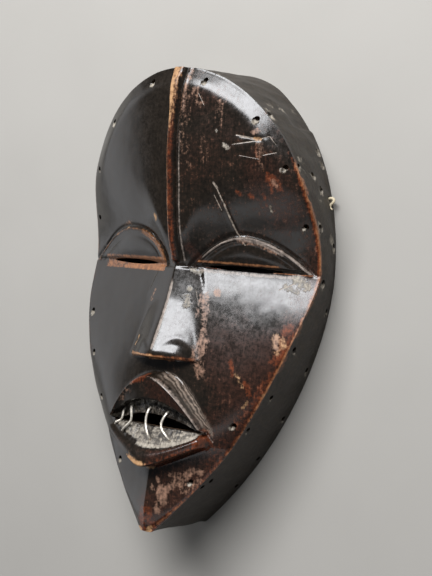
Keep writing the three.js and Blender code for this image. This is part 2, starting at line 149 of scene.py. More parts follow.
def new_piece(name, bm, smooth_angle=None):
    """A piece from a mesh drawn in millimetres."""
    bmesh.ops.scale(bm, vec=(MM, MM, MM), verts=bm.verts)
    mesh = bpy.data.meshes.new(name)
    bm.to_mesh(mesh)
    bm.free()
    piece = bpy.data.objects.new(name, mesh)
    bpy.context.collection.objects.link(piece)
    if smooth_angle is not None:
        mesh.shade_smooth()
        mesh.set_sharp_from_angle(angle=math.radians(smooth_angle))
    return piece


# %% [markdown]
# ## The form of the face
# A carver thinks in planes: forehead, eye sockets, cheeks and a keeled chin. Each is written here as a
# height above the rim for a place x, y, with the same sizes as the solids. Worn arrises are rounded over.

# %% Outline of the front edge and the back rim
EYE_Y = 15.25
FRONT = {
    "half": 68.9, "crown": 95.1, "chin": 129.8,
    "crown_power": 2.3, "jaw_power": 1.6, "chin_power": 0.83, "blunt": 3,
}
RIM = {
    "half": 66.3, "crown": 100, "chin": 130.5,
    "crown_power": 2, "jaw_power": 1.75, "chin_power": 0.85, "blunt": 2,
}
BLUNT_POWER = 24
SLOPE_STEP = 0.2


def half_width(edge, y):
    if y >= EYE_Y:
        share = clamp((y - EYE_Y) / edge["crown"])
        return edge["half"] * math.sqrt(1 - share ** edge["crown_power"])
    share = clamp((EYE_Y - y) / edge["chin"])
    side = edge["half"] * (1 - share ** edge["jaw_power"]) ** edge["chin_power"]
    return side + edge["blunt"] * share ** BLUNT_POWER


def outline_point(edge, turn_share):
    """Point of an outline; the share runs once round from the right temple over the crown."""
    quarter = (turn_share % 1) * 4
    side = 1 if quarter < 1 or quarter >= 3 else -1
    angle = (quarter if quarter < 1 else 2 - quarter if quarter < 3 else quarter - 4) * math.pi / 2
    if angle >= 0:
        y = EYE_Y + edge["crown"] * math.sin(angle) ** (2 / edge["crown_power"])
        return side * edge["half"] * max(0, math.cos(angle)), y
    share = math.sin(-angle) ** (2 / edge["jaw_power"])
    x = edge["half"] * max(0, math.cos(angle)) ** (2 * edge["chin_power"])
    return side * (x + edge["blunt"] * share ** BLUNT_POWER), EYE_Y - edge["chin"] * share


def edge_share(edge, x, y):
    if y >= EYE_Y:
        return (abs(x) / edge["half"]) ** 2 + ((y - EYE_Y) / edge["crown"]) ** edge["crown_power"]
    across = (abs(x) / edge["half"]) ** (1 / edge["chin_power"])
    return across + ((EYE_Y - y) / edge["chin"]) ** edge["jaw_power"]


def distance_in(share_at, x, y, least):
    """Rough distance in from the line where a share reaches 1, found from its slope."""
    here = share_at(x, y)
    slope_x = (share_at(x + SLOPE_STEP, y) - here) / SLOPE_STEP
    slope_y = (share_at(x, y + SLOPE_STEP) - here) / SLOPE_STEP
    return (1 - here) / max(math.hypot(slope_x, slope_y), least)


def edge_distance(edge, x, y):
    """Rough distance in from an outline."""
    return distance_in(partial(edge_share, edge), x, y, 0.004)


# %% Planes of the face
FOREHEAD_Z = 49.9
BROW_FALL = 9.6
BROW_FROM = 55
EYE_CENTRE_Z = 38
TEMPLE_Z = 18.9
CHEEK_FULLEST = 73.3
NOSE_TOP = 1
NOSE_LENGTH = 44.2


def root_rise(x):
    """The swelling between the eyes, where the nose starts."""
    return 2.3 * bell(x, 9)


def eye_z(x):
    return lerp(EYE_CENTRE_Z, TEMPLE_Z, abs(x) / FRONT["half"]) + root_rise(x)


def forehead_height(x, y):
    rise = y - EYE_Y
    middle = FOREHEAD_Z - BROW_FALL * clamp((BROW_FROM - rise) / BROW_FROM) ** 2
    dome = middle - lerp(0.0048, 0.0034, clamp((rise - 20) / 60)) * x * x
    reach = lerp(46, 14, bell(x, 14))
    return lerp(dome, eye_z(x), (1 - clamp(rise / reach)) ** 2)


def cheek_height(x, y):
    drop = EYE_Y - y
    jaw = max(0, drop - 85.3)
    tip = max(0, (drop - FRONT["chin"] + 14) / 14)
    centre_share = 1 - math.exp(-((drop / 18) ** 1.2))
    centre = EYE_CENTRE_Z + 8 * centre_share + 0.12 * jaw - 3.6 * tip * tip
    edge = TEMPLE_Z + 17.5 * (1 - math.exp(-((drop / 36) ** 1.3))) + 0.24 * jaw
    power = 1 + 2 * bell(drop - CHEEK_FULLEST, 16 if drop > CHEEK_FULLEST else 30)
    width = max(half_width(FRONT, y), FRONT["blunt"])
    fall = max(0, centre - edge) * clamp(abs(x) / width) ** power
    return centre - fall + root_rise(x) * (1 - centre_share)


def plane_height(x, y):
    return forehead_height(x, y) if y >= EYE_Y else cheek_height(x, y)


print("tip of the forehead", round(plane_height(0, 100), 1), "temple", round(plane_height(68.9, EYE_Y), 1))

# %% [markdown]
# ## Nose, lids and rib
# The nose is a long wedge with a sharp ridge and a thick lower rim. The lids swell out of the sockets, with
# a cut line above them. The rib runs from the crown to the nose, with a groove cut down its right side.

# %% Nose
NOSE_ROOT_HALF = 5.5
NOSE_WING_HALF = 19.3


def nose_foot_half(share):
    return lerp(NOSE_ROOT_HALF, NOSE_WING_HALF, clamp(share) ** 0.9)


def wing_line(x):
    """The crease cut above each wing of the nose."""
    return EYE_Y - 35.2 - 0.09 * (abs(x) - 10) ** 2


def nose_height(x, y):
    """Height of the nose, or None where it is not."""
    down = EYE_Y - NOSE_TOP - y
    share = down / NOSE_LENGTH
    half = nose_foot_half(share)
    if share < 0 or share > 1 or abs(x) >= half + 7:
        return None
    tip = clamp((down - NOSE_LENGTH + 4) / 4)
    ridge = 39.6 + 0.3 * down + 0.0019 * down * down - 1.8 * tip * tip
    fullness = lerp(1, 1.5, smooth(share * 1.25))
    side = 1 - ((math.hypot(x, 0.8) - 0.4) / half) ** fullness
    z = lerp(plane_height(half, y) + share * 0.6, ridge, side)
    below = wing_line(x) - y
    return z + bell(abs(x) - 11, 6) * (0.9 * smooth((below + 1) / 4.5) - 0.2 * bell(below, 2))


# %% Eyelids and the lines cut above them
LIDS = {
    1: {
        "inner": 8, "peak": 36, "outer": 66, "height": 15.9,
        "inner_power": 2, "outer_power": 1.8, "inner_round": 1,
    },
    -1: {
        "inner": 7.5, "peak": 32, "outer": 67.5, "height": 17.6,
        "inner_power": 2.2, "outer_power": 1.85, "inner_round": 2.2,
    },
}


def lid_share(side, x, y):
    """0 at the middle of the lid's foot and 1 on its upper edge."""
    lid = LIDS[side]
    up = max(0, y - EYE_Y) / lid["height"]
    if x >= lid["peak"]:
        return ((x - lid["peak"]) / (lid["outer"] - lid["peak"])) ** lid["outer_power"] + up
    across = ((lid["peak"] - x) / (lid["peak"] - lid["inner"])) ** lid["inner_power"]
    return (across + up ** lid["inner_round"]) ** (1 / lid["inner_round"])


def lid_depth(x, y):
    """Distance inside the lid's upper edge; negative outside it."""
    return distance_in(partial(lid_share, 1 if x > 0 else -1), abs(x), y, 0.012)


def lid_relief(x, y):
    if y < EYE_Y:
        return 0
    depth = lid_depth(x, y)
    if depth < -4:
        return 0
    cut = -0.75 * bell(depth + 0.9, 0.7)
    if depth <= 0:
        return cut
    above = y - EYE_Y
    rim = 0.5 * bell(depth - 0.7, 0.6)
    swell = 1.1 * smooth(depth / 0.7) + 1.3 * smooth(depth / 9) * smooth((above + 2) / 9)
    line = -0.22 * bell(depth - 4.2, 0.5)
    return cut + rim + line + swell * smooth((above - 0.6) / 1.6)


# %% Rib and groove
RIB_TOP = 95.1


def rib_half(rise):
    return lerp(1.4, 2.5, clamp((rise - 70) / (RIB_TOP - 70)))


def rib_relief(x, y):
    rise = y - EYE_Y
    if rise < 1.2:
        return 0
    half = rib_half(rise)
    raised = 2 * smooth((rise - 1.2) / 1.5) * clamp((half + 0.6 - abs(x)) / 0.6)
    left = half + 0.8
    across = (x - left) / 2
    groove = -1.1 * clamp(1 - abs(across - 0.33) / 0.5) if -0.2 < across < 1 else 0
    edge = 0.35 * bell(x - left - 2.4, 0.5)
    return raised + (groove + edge) * smooth((rise - 2) / 3)


# %% [markdown]
# ## The mouth
# The mouth is a profile drawn from the chin to the nose at each x: the hanging lower lip, its sloping
# shelf, the slot, the recess that holds the wires, the upper lip's front band, its crest and a tooled
# chamfer.

# %% Curves of the lips
LIP_HALF = 28.4
CORNER_FADE = 1.2
LIP_BULGE = 1.3
CREST_DROP = 54.05
CREST_BEND = 0.0772
CREST_POWER = 1.725


def blunt(x):
    return math.hypot(x, 4.5) - 4.5


def tip_y(x):
    return EYE_Y - 97.45 + 0.53 * blunt(x)


def tip_z(x):
    return 57 - 0.38 * blunt(x)


def shelf_y(x):
    return EYE_Y - 88.45 + 0.0118 * x * x


def shelf_z(x):
    return 52.5 - 0.0085 * x * x


def shelf_back_z(x):
    return 47 - 0.0085 * x * x / 4


SLOT_BOTTOM_Y = EYE_Y - 78.65
SLOT_HALF = 24.4


def slot_top_y(x):
    return EYE_Y - 72.25 - 0.0105 * x * x


def crest_y(x):
    return EYE_Y - CREST_DROP - CREST_BEND * abs(x) ** CREST_POWER


def crest_z(x):
    return 56.6 - 0.0105 * x * x


def inside_y(x):
    return EYE_Y - 65.15 - 0.015 * x * x


def foot_y(x):
    corner = clamp(abs(x) / 28)
    reach = lerp(2, 3, corner) + 1.4 * math.sin(math.pi * corner)
    slope = CREST_BEND * CREST_POWER * max(abs(x), 0.01) ** (CREST_POWER - 1)
    return crest_y(x) + reach * math.hypot(slope, 1) * 0.9


def mouth_profile(x):
    """Places and heights from the chin up to the foot of the chamfer, at one x."""
    crest = crest_y(x)
    inside = min(inside_y(x), crest - 0.5)
    slot_top = min(slot_top_y(x), inside - 0.6)
    bottom = min(SLOT_BOTTOM_Y, slot_top - 0.15)
    shelf = min(shelf_y(x), bottom - 0.3)
    tip = min(tip_y(x), shelf - 0.8)
    recess = crest_z(x) - 7.3
    return [
        (tip - 1.3, plane_height(x, tip - 1.3)),
        (tip - 0.5, plane_height(x, tip - 1) + 1.2),
        (tip, tip_z(x)),
        (shelf, shelf_z(x)),
        (bottom, shelf_back_z(x)),
        (slot_top, recess),
        (inside - 0.35, recess - 0.4),
        (inside, crest_z(x) - 2.1),
        (crest, crest_z(x)),
        (max(foot_y(x), crest + 1), plane_height(x, foot_y(x))),
    ]


def mouth_height(x, y):
    """Height of the lips, or None outside them."""
    if abs(x) > LIP_HALF + 1:
        return None
    profile = mouth_profile(x)
    if y < profile[0][0] or y > profile[-1][0]:
        return None
    for (low_y, low_z), (high_y, high_z) in zip(profile, profile[1:]):
        if y <= high_y:
            share = (y - low_y) / (high_y - low_y)
            front = LIP_BULGE * math.sin(math.pi * share ** 1.5) if high_y == profile[3][0] else 0
            return lerp(low_z, high_z, share) + front
    return None


# %% [markdown]
# ## Marks of the tools and of wear
# Cuts deep enough to catch the light are real relief: two long scratches over the right eye, fine lines
# like a bird's foot near the right edge, the tooled chamfer beside the lip, and small chips.

# %% Scratches
# Each: from one place to another, half the width of the pale line and the depth of the cut
SCRATCHES = [
    ((23.2, 55.4), (24.6, 53.2), 0.55, 0.3), ((24.2, 54), (27.4, 46), 0.32, 0.4),
    ((27.4, 46), (31.6, 33), 0.42, 0.5), ((23.2, 49.6), (26, 43), 0.22, 0.2),
    ((34.2, 78), (44.9, 76.4), 0.3, 0.2), ((36, 77.2), (45, 76), 0.22, 0.2),
    ((32.6, 73.6), (45.4, 76), 0.22, 0.2), ((45, 76.4), (48.8, 78.2), 0.14, 0.1),
    ((48.8, 78.2), (51.6, 74.6), 0.14, 0.1), ((46.8, 69.2), (52.2, 70.8), 0.16, 0.1),
    ((36, 68.6), (45, 67.4), 0.1, 0.1), ((31.6, 32.8), (35.4, 27.4), 0.34, 0.3),
    ((34.2, 30.8), (36.4, 29.6), 0.3, 0.2), ((58, 10.9), (51.5, 7.4), 0.25, 0.3),
    ((54.8, 8.8), (53.4, 10.2), 0.2, 0.2), ((13.4, 97.2), (16.8, 91.6), 0.1, 0.1),
    ((12.4, 4.2), (15.4, -3.6), 0.1, 0.1),
]


def segment_distance(x, y, start, end):
    along_x, along_y = end[0] - start[0], end[1] - start[1]
    share = clamp(((x - start[0]) * along_x + (y - start[1]) * along_y) / (along_x ** 2 + along_y ** 2))
    return math.hypot(x - start[0] - share * along_x, y - start[1] - share * along_y)


def scratch_relief(x, y):
    if not (20 < x < 60 and 5 < y < 82):
        return 0
    relief = 0
    for start, end, _, depth in SCRATCHES:
        distance = segment_distance(x, y, start, end)
        if distance < 2:
            relief -= depth * bell(distance, 0.6)
    return relief


# %% Crust and pits inside the mouth
PITS = [(-22.5, 1.2), (-17, 1), (-9.5, 1.4), (-5.5, 0.9), (1.7, 1.3), (5.2, 1), (13.2, 1.2), (17.4, 1)]


def inside_mouth(x, y):
    """1 on the lower lip's shelf and in the recess behind the upper lip, 0 outside them."""
    if abs(x) > 27:
        return 0
    return smooth((y - shelf_y(x) - 0.6) / 0.8) * smooth((inside_y(x) - y) / 0.8)


def crust_relief(x, y):
    zone = inside_mouth(x, y)
    if zone == 0:
        return 0
    relief = 0.3 * grain(x, y, 2, 1.6) + 0.35 * grain(x, y, 4, 3.2)
    heap = bell(x + 17, 8) * bell(y - shelf_y(x) - 4.2, 2.6)
    relief += heap * (0.9 + 0.9 * grain(x, y, 6, 1.9))
    for pit_x, size in PITS:
        relief -= 1.6 * bell(math.hypot(x - pit_x, y - inside_y(pit_x) + 1.6), 0.55 * size)
    return zone * relief


# %% Whole height of the carved face


def crown_roll(into):
    """The forehead turns down steadily towards its edge, steepest over the last few millimetres."""
    share = clamp((into - 4) / 8)
    return 0.38 * (clamp(into, 0, 4) + 8 * (share - share ** 3 + share ** 4 / 2)) - 1.3


def face_height(x, y):
    z = plane_height(x, y)
    nose = nose_height(x, y)
    if nose is not None:
        z = smooth_max(z, nose, 0.9 + 1.8 * (1 - smooth((EYE_Y - y) / 24)))
    if y >= EYE_Y:
        z += lid_relief(x, y) + rib_relief(x, y) + scratch_relief(x, y)
    else:
        lips = mouth_height(x, y)
        if lips is not None:
            z = lerp(lips, z, smooth((abs(x) - LIP_HALF + CORNER_FADE) / CORNER_FADE))
            chamfer = y - crest_y(x)
            if chamfer > 0.6 and x > 2:
                z += 0.3 * math.sin(chamfer * 3.4 + 1.4 * grain(x, y, 0, 6)) * smooth((chamfer - 0.6) / 0.8)
            z += crust_relief(x, y)
    into = edge_distance(FRONT, x, y)
    z += crown_roll(into) * smooth((y - 50) / 28)
    worn = (0.4 + 0.3 * grain(x, y, 5, 9)) * lerp(1, 0.25, smooth((y - 50) / 28))
    z -= worn * clamp(1 - into / 1.4) ** 2
    z += 0.14 * grain(x, y, 0, 17) + 0.05 * grain(x, y, 9, 5)
    return z


# %% [markdown]
# ## From height to mesh
# A plain grid would step across the lips. So its rows are bent to run along the lips, the nose's lower edge
# and the lids, and spread out evenly again beside them. The grid is then closed below to make a block.

# %% Rows that follow the carving
GRID_LOW = (-71.5, -117.0)
GRID_HIGH = (71.5, 118.0)
CELL = 0.61
COLUMNS = round((GRID_HIGH[0] - GRID_LOW[0]) / CELL)
ROWS = round((GRID_HIGH[1] - GRID_LOW[1]) / CELL)


def lid_row(x):
    lid = LIDS[1 if x > 0 else -1]
    from_peak = abs(x) - lid["peak"]
    if from_peak >= 0:
        share = 1 - clamp(from_peak / (lid["outer"] - lid["peak"])) ** lid["outer_power"]
    else:
        share = 1 - clamp(-from_peak / (lid["peak"] - lid["inner"])) ** lid["inner_power"]
        share **= 1 / lid["inner_round"]
    return EYE_Y + max(6, lid["height"] * share)


# Each: the row's place in y for an x, and the two x between which it spreads out evenly again
NOSE_FOOT_Y = EYE_Y - NOSE_TOP - NOSE_LENGTH
LIP_PARTS = (0, 2, 3, 4, 5, 6, 7, 8, 9)
KEY_ROWS = [(lambda x, part=part: mouth_profile(x)[part][0], 27, 46) for part in LIP_PARTS]
for level in (NOSE_FOOT_Y - 0.3, NOSE_FOOT_Y + 0.1, EYE_Y):
    KEY_ROWS.append((lambda x, level=level: level, 80, 90))
KEY_ROWS.append((lid_row, 60, 66))
KEY_MIDDLE = [row(0) for row, _, _ in KEY_ROWS]
KEY_MIDDLE[-1] = EYE_Y + LIDS[1]["height"]
KEY_INDEX = []
for middle in KEY_MIDDLE:
    index = round((middle - GRID_LOW[1]) / (GRID_HIGH[1] - GRID_LOW[1]) * ROWS)
    KEY_INDEX.append(max(index, KEY_INDEX[-1] + 1) if KEY_INDEX else index)
print("grid", COLUMNS, "x", ROWS, "key rows", KEY_INDEX)


def row_places(x):
    """Height in y of every row at one x."""
    knots = [(0, GRID_LOW[1])]
    for (row, start, end), middle, index in zip(KEY_ROWS, KEY_MIDDLE, KEY_INDEX):
        bent = row(clamp(x, -start, start)) if row is not lid_row else row(x)
        knots.append((index, lerp(bent, middle, smooth((abs(x) - start) / (end - start)))))
    knots.append((ROWS, GRID_HIGH[1]))
    places = []
    for (low, low_y), (high, high_y) in zip(knots, knots[1:]):
        places += [lerp(low_y, high_y, (row - low) / (high - low)) for row in range(low, high)]
    return places + [GRID_HIGH[1]]


# %% Block of the face
BLOCK_BOTTOM = -6
bm = bmesh.new()
bmesh.ops.create_grid(bm, x_segments=COLUMNS, y_segments=ROWS, size=1)
places = {}
for vert in bm.verts:
    column = round((vert.co.x + 1) / 2 * COLUMNS)
    row = round((vert.co.y + 1) / 2 * ROWS)
    x = lerp(GRID_LOW[0], GRID_HIGH[0], column / COLUMNS)
    if column not in places:
        places[column] = row_places(x)
    y = places[column][row]
    vert.co = (x, y, face_height(x, y))
bmesh.ops.smooth_vert(bm, verts=bm.verts, factor=0.35, use_axis_z=True, use_axis_x=True, use_axis_y=True)
for vert in verts_of(bmesh.ops.extrude_edge_only(bm, edges=open_edges(bm))):
    vert.co.z = BLOCK_BOTTOM
bmesh.ops.contextual_create(bm, geom=open_edges(bm))
bmesh.ops.recalc_face_normals(bm, faces=bm.faces)
carving = new_piece("mask_carving", bm)
print("face block", len(carving.data.polygons), "faces")

# %% Cut the carving with a tool


def combine(name, bm, operation="DIFFERENCE"):
    """Boolean a tool drawn in millimetres into the carving, then drop the tool."""
    bmesh.ops.recalc_face_normals(bm, faces=bm.faces)
    tool = new_piece(name, bm)
    modifier = carving.modifiers.new("cut", "BOOLEAN")
    modifier.operation = operation
    modifier.solver = "MANIFOLD"
    modifier.object = tool
    made = bpy.data.meshes.new_from_object(carving.evaluated_get(bpy.context.evaluated_depsgraph_get()))
    carving.modifiers.clear()
    old = carving.data
    carving.data = made
    bpy.data.meshes.remove(old)
    bpy.data.objects.remove(tool)
    print(name, operation.lower(), len(made.polygons), "faces")


def bent_grid(turns, rows, point_at):
    """A grid bent round the outline, joined along its seam and filled at its ends."""
    bm = bmesh.new()
    bmesh.ops.create_grid(bm, x_segments=turns, y_segments=rows, size=1)
    for vert in bm.verts:
        vert.co = point_at((vert.co.x + 1) / 2, round((vert.co.y + 1) / 2 * rows))
    bmesh.ops.remove_doubles(bm, verts=bm.verts, dist=0.001)
    bmesh.ops.holes_fill(bm, edges=open_edges(bm), sides=0)
    return bm


# %% [markdown]
# ## Side wall
# The wall is a tube drawn from the back rim to the front edge and on upwards. Where it meets the face block
# it gives the crisp arris round the mask. Shallow adze facets are pressed into it, never out of it.

# %% Tube of the side wall
WALL_TURNS = 420
WALL_ROWS = 16
WALL_TOP = 72
WALL_BULGE = 1.2


def adze(x, y, z):
    """Depth of the adze facets, from 0 to about 1."""
    distances, _ = noise.voronoi(Vector((x / 9, y / 9, z / 16)), distance_metric="DISTANCE", exponent=2.5)
    return clamp(1 - distances[0] * 1.3)


def wall_point(turn_share, row):
    level = row / WALL_ROWS
    rim_x, rim_y = outline_point(RIM, turn_share)
    front_x, front_y = outline_point(FRONT, turn_share)
    out = Vector((front_x, front_y - EYE_Y, 0)).normalized()
    share = min(level, 1)
    at = Vector((lerp(rim_x, front_x, share), lerp(rim_y, front_y, share), 0))
    front_z = plane_height(front_x, front_y)
    at.z = share * front_z if level <= 1 else WALL_TOP
    middle = math.sin(math.pi * share)
    at += out * WALL_BULGE * abs(out.x) * middle
    if level <= 1:
        at -= out * 1.1 * adze(at.x, at.y, at.z) * smooth(share * 8) * smooth((1 - share) * 8)
        step = smooth((at.y - 86) / 1.2) * smooth((at.x - 20) / 10) * smooth((24 - at.z) / 10)
        at -= out * 0.9 * step * smooth((110 - at.y) / 10)
    return at


combine("wall_tube", bent_grid(WALL_TURNS, WALL_ROWS + 1, wall_point), "INTERSECT")

# %% [markdown]
# ## Hollow, slits, mouth and bores
# The back is scooped out with a gouge, which leaves overlapping hollows about a finger wide. The eye slits
# and the mouth are sawn right through, and small holes for a hood run round the edge.

# %% Hollow with gouge marks
HOLLOW_TURNS = 200
HOLLOW_ROWS = 44
SIDE_ROWS = 10
WALLS = {"half": 7, "crown": 7, "chin": 11}
WALL_BEHIND = 8


def gouge(x, y):
    distances, _ = noise.voronoi(Vector((x / 7, y / 15, 0.3)), distance_metric="DISTANCE", exponent=2.5)
    return 0.9 * clamp(0.8 - distances[0])


def hollow_edge(extra):
    """The back rim's outline moved in by the wall's thickness and a little more."""
    return {**RIM, **{key: RIM[key] - wall - extra for key, wall in WALLS.items()}}


MOUTH_EDGE = hollow_edge(0)
FLOOR_EDGE = hollow_edge(3)


def hollow_point(turn_share, row):
    x, y = outline_point(MOUTH_EDGE, turn_share)
    if row == 0:
        return x, y, -WALL_BEHIND
    floor_x, floor_y = outline_point(FLOOR_EDGE, turn_share)
    if row <= SIDE_ROWS:
        share = (row - 1) / (SIDE_ROWS - 1)
        x, y = lerp(x, floor_x, share), lerp(y, floor_y, share)
        z = share * (plane_height(floor_x, floor_y) - WALL_BEHIND)
        pressed = 0.5 * gouge(x + y, z * 2) * smooth(share * 6)
        return x * (1 - pressed / 60), lerp(EYE_Y, y, 1 - pressed / 90), z
    share = 1 - (row - SIDE_ROWS) / (HOLLOW_ROWS - SIDE_ROWS)
    x, y = floor_x * share, lerp(EYE_Y, floor_y, share)
    return x, y, plane_height(x, y) - WALL_BEHIND - gouge(x, y)


combine("hollow", bent_grid(HOLLOW_TURNS, HOLLOW_ROWS, hollow_point))

# %% Slits and mouth, cut through
SLIT = {"inner": 15.2, "outer": 52.2, "half": 1.25, "rise": 0.6}


def add_prism(bm, points, bottom, top):
    """Adds an upright prism over a flat outline."""
    face = bm.faces.new([bm.verts.new((x, y, bottom)) for x, y in points])
    raised = verts_of(bmesh.ops.extrude_face_region(bm, geom=[face]))
    bmesh.ops.translate(bm, vec=(0, 0, top - bottom), verts=raised)


bm = bmesh.new()
for side in (1, -1):
    shape = []
    for edge in (1, -1):
        for step in range(24):
            share = step / 24 if edge > 0 else 1 - step / 24
            x = side * lerp(SLIT["inner"], SLIT["outer"], share)
            half = (SLIT["half"] + 0.12 * grain(x, edge * 9, 3, 4)) * math.sin(math.pi * share) ** 0.6
            shape.append((x, EYE_Y + SLIT["rise"] + edge * half))
    add_prism(bm, shape, 1, FOREHEAD_Z)
slot_x = [lerp(-SLOT_HALF, SLOT_HALF, step / 40) for step in range(41)]
shape = [(x, slot_top_y(x)) for x in slot_x] + [(SLOT_HALF, SLOT_BOTTOM_Y), (-SLOT_HALF, SLOT_BOTTOM_Y)]
add_prism(bm, shape, EYE_CENTRE_Z - 2, 60)
combine("slits", bm)

# %% Round hollows behind the mouth and the nose
bm = bmesh.new()
for drop, size in ((75.45, (22, 13, 7)), (31.06, (9, 16, 7))):
    place = Matrix.Translation((0, EYE_Y - drop, EYE_CENTRE_Z - 2)) @ Matrix.Diagonal((*size, 1))
    bmesh.ops.create_uvsphere(bm, u_segments=40, v_segments=20, radius=1, matrix=place)
combine("round_hollows", bm)

# %% Places of the edge bores
# Each place is a share of the way from the eyes to the crown, or to the chin when it is negative. A wall
# bore also has its share of the wall's height.
BORE_RADIUS = 1.35
CORNER_INSET = 4.2
ROD_BEYOND = 3.2
CORNER_BORES = {
    1: [0.973, 0.775, 0.534, 0.245, -0.58, -0.811],
    -1: [0.973, 0.765, 0.507, 0.239, -0.214, -0.379, -0.549, -0.776],
}
WALL_BORES = [(0.439, 0.41), (0.502, 0.565), (-0.019, 0.77), (-0.272, 0.8), (-0.453, 0.79), (-0.79, 0.81)]
RIM_BORES = [0.639, 0.572, 0.398, 0.161, -0.125, -0.352, -0.547, -0.713, -0.834]
RIM_BORE_Z = 4


def level_of(place):
    return EYE_Y + place * (FRONT["crown"] if place > 0 else FRONT["chin"])


def side_point(place, share, side):
    """Point on the side wall and the way out of it. A share above 1 is a height in millimetres."""
    y = level_of(place)
    front_z = plane_height(half_width(FRONT, y), y)
    share = share if share <= 1 else share / front_z
    step = 0.5
    levels = (y - step, y, y + step)
    widths = [lerp(half_width(RIM, level), half_width(FRONT, level), share) for level in levels]
    out = Vector((1, widths[0] - widths[2], 0)).normalized()
    return Vector((side * widths[1], y, share * front_z)), Vector((side * out.x, out.y, 0))


def add_rod(bm, start, end, radius):
    along = end - start
    turn = Vector((0, 0, 1)).rotation_difference(along.normalized()).to_matrix().to_4x4()
    bmesh.ops.create_cone(
        bm, cap_ends=True, segments=14, radius1=radius, radius2=radius, depth=along.length,
        matrix=Matrix.Translation((start + end) / 2) @ turn,
    )


mouths = []
corner_bores = []
bm = bmesh.new()
for side, bore_places in CORNER_BORES.items():
    for place in bore_places:
        at, out = side_point(place, 1, side)
        inner = at - out * CORNER_INSET
        inner.z = face_height(inner.x, inner.y)
        outer = at - Vector((0, 0, CORNER_INSET))
        mouths += [(inner.copy(), Vector((0, 0, 1))), (outer.copy(), out)]
        add_rod(bm, outer + out * ROD_BEYOND, outer - out * CORNER_INSET, BORE_RADIUS)
        corner_bores.append(inner)
for side in (1, -1):
    for place, share in WALL_BORES + [(place, RIM_BORE_Z) for place in RIM_BORES]:
        at, out = side_point(place, share, side)
        mouths.append((at.copy(), out))
        add_rod(bm, at - out * (17 if place < -0.8 else 13), at + out * ROD_BEYOND, BORE_RADIUS)
combine("bores", bm)

bm = bmesh.new()
for inner in corner_bores:
    add_rod(bm, inner + Vector((0, 0, 3)), inner - Vector((0, 0, 5.4)), BORE_RADIUS * 0.9)
combine("corner_bores", bm)

# %% Chipped lower lips of the bores
chips = []
bm = bmesh.new()
for index, (at, out) in enumerate(mouths):
    on_wall = out.z == 0
    size = (1.95 if on_wall else 1.65) + 0.7 * grain(at.x, at.y, 3, 4)
    centre = at + out * 1.1 + Vector((0, -1.3, -0.4) if on_wall else (-0.5, -1.2, 0))
    place = Matrix.Translation(centre) @ Matrix.Rotation(index, 4, "Z") @ Matrix.Diagonal((1.25, 0.8, 1, 1))
    bmesh.ops.create_icosphere(bm, subdivisions=2, radius=size, matrix=place)
    chips.append((centre, size))
combine("chips", bm)

# %% [markdown]
# ## Where the surface has aged, and where light is painted
# Handling rubbed the black finish back to amber wood along the arris, the rib, the nose and the lips. Pale
# film, white residue and small chips lie elsewhere. Each kind of ageing is one attribute on the mesh, from
# 0 to 1. Some attributes also carry painted light: highlights along the nose's ridge, the lids' rims,
# the upper lip's crest, the rib's left edge, beside its groove and on the front edge of the lower lip's
# shelf, and shade at the back of that shelf. A mesh this fine can carry it, and the material then breaks
# its edge up with noise.

# %% Zones: side wall, hollow and the face itself
carving.data.transform(Matrix.Scale(1 / MM, 4))
vertex_count = len(carving.data.vertices)
# Some of these also carry painted highlights and painted shade, set in the zones below
AGEING = ["ruddy", "amber", "ochre", "film", "residue", "dull", "bare", "tan", "pale", "tooled"]
ageing = {name: [0.0] * vertex_count for name in AGEING}
on_face = [False] * vertex_count


def wall_depth(x, y, z):
    """Distance in from the side wall at this height."""
    share = clamp(z / max(plane_height(x, y), 1))
    edge = {key: lerp(RIM[key], FRONT[key], share) for key in FRONT}
    return edge_distance(edge, x, y)


for index, vert in enumerate(carving.data.vertices):
    x, y, z = vert.co
    below = face_height(x, y) - z
    inwards = wall_depth(x, y, z)
    hollow = smooth((below - 1.5) / 1.5) * smooth((inwards - 2.2) / 1.2)
    ageing["bare"][index] = hollow
    ageing["dull"][index] = smooth((below - 0.9) / 0.9) * (1 - hollow)
    on_face[index] = below < 1.6
print("vertices", vertex_count, "of them on the face", sum(on_face))

# %% Helpers for the bands that follow the carving
# How far the arris is rubbed at each y
RUBBED_ARRIS = [
    (-114, 0.62), (-90, 0.5), (-60, 0.55), (-25, 0.7), (0, 0.65), (16, 0.85),
    (40, 1.1), (58, 1), (68, 0.5), (76, 0.2), (110, 0),
]


def from_table(table, place):
    if place <= table[0][0]:
        return table[0][1]
    for (low, low_value), (high, high_value) in zip(table, table[1:]):
        if place <= high:
            return lerp(low_value, high_value, (place - low) / (high - low))
    return table[-1][1]


def band(distance, half):
    """1 on a line, falling to 0 at about twice the half width."""
    return smooth(1.3 - abs(distance) / (1.5 * half))


def more(name, index, amount):
    """Ages a vertex, or paints its light, to this amount, unless it has more already."""
    if amount > ageing[name][index]:
        ageing[name][index] = amount


# %% Arris and forehead: each kind of ageing and of painted light at a place, and how much


def edge_wear(x, y):
    """The rubbed arris, and the reddish wood that shows through beside it."""
    into = edge_distance(FRONT, x, y)
    right = smooth((x + 4) / 12)
    arris = from_table(RUBBED_ARRIS, y) * lerp(0.4, 1, right)
    specked = right * max(smooth((y - 19) / 6), smooth((-26 - y) / 14))
    yield "amber", arris * band(into - 0.4, 0.8)
    yield "tan", 0.72 * right * band(into - 0.3, 0.4) * smooth((arris - 0.3) / 0.4)
    yield "film", 0.045 * specked
    yield "amber", 0.06 * specked
    yield "ruddy", 0.5 * right * smooth(1.2 - into / 6) * smooth((70 - y) / 20)
    yield "ruddy", right * max(0.14, 0.95 * smooth(1.1 - into / 15) * smooth((62 - y) / 60))


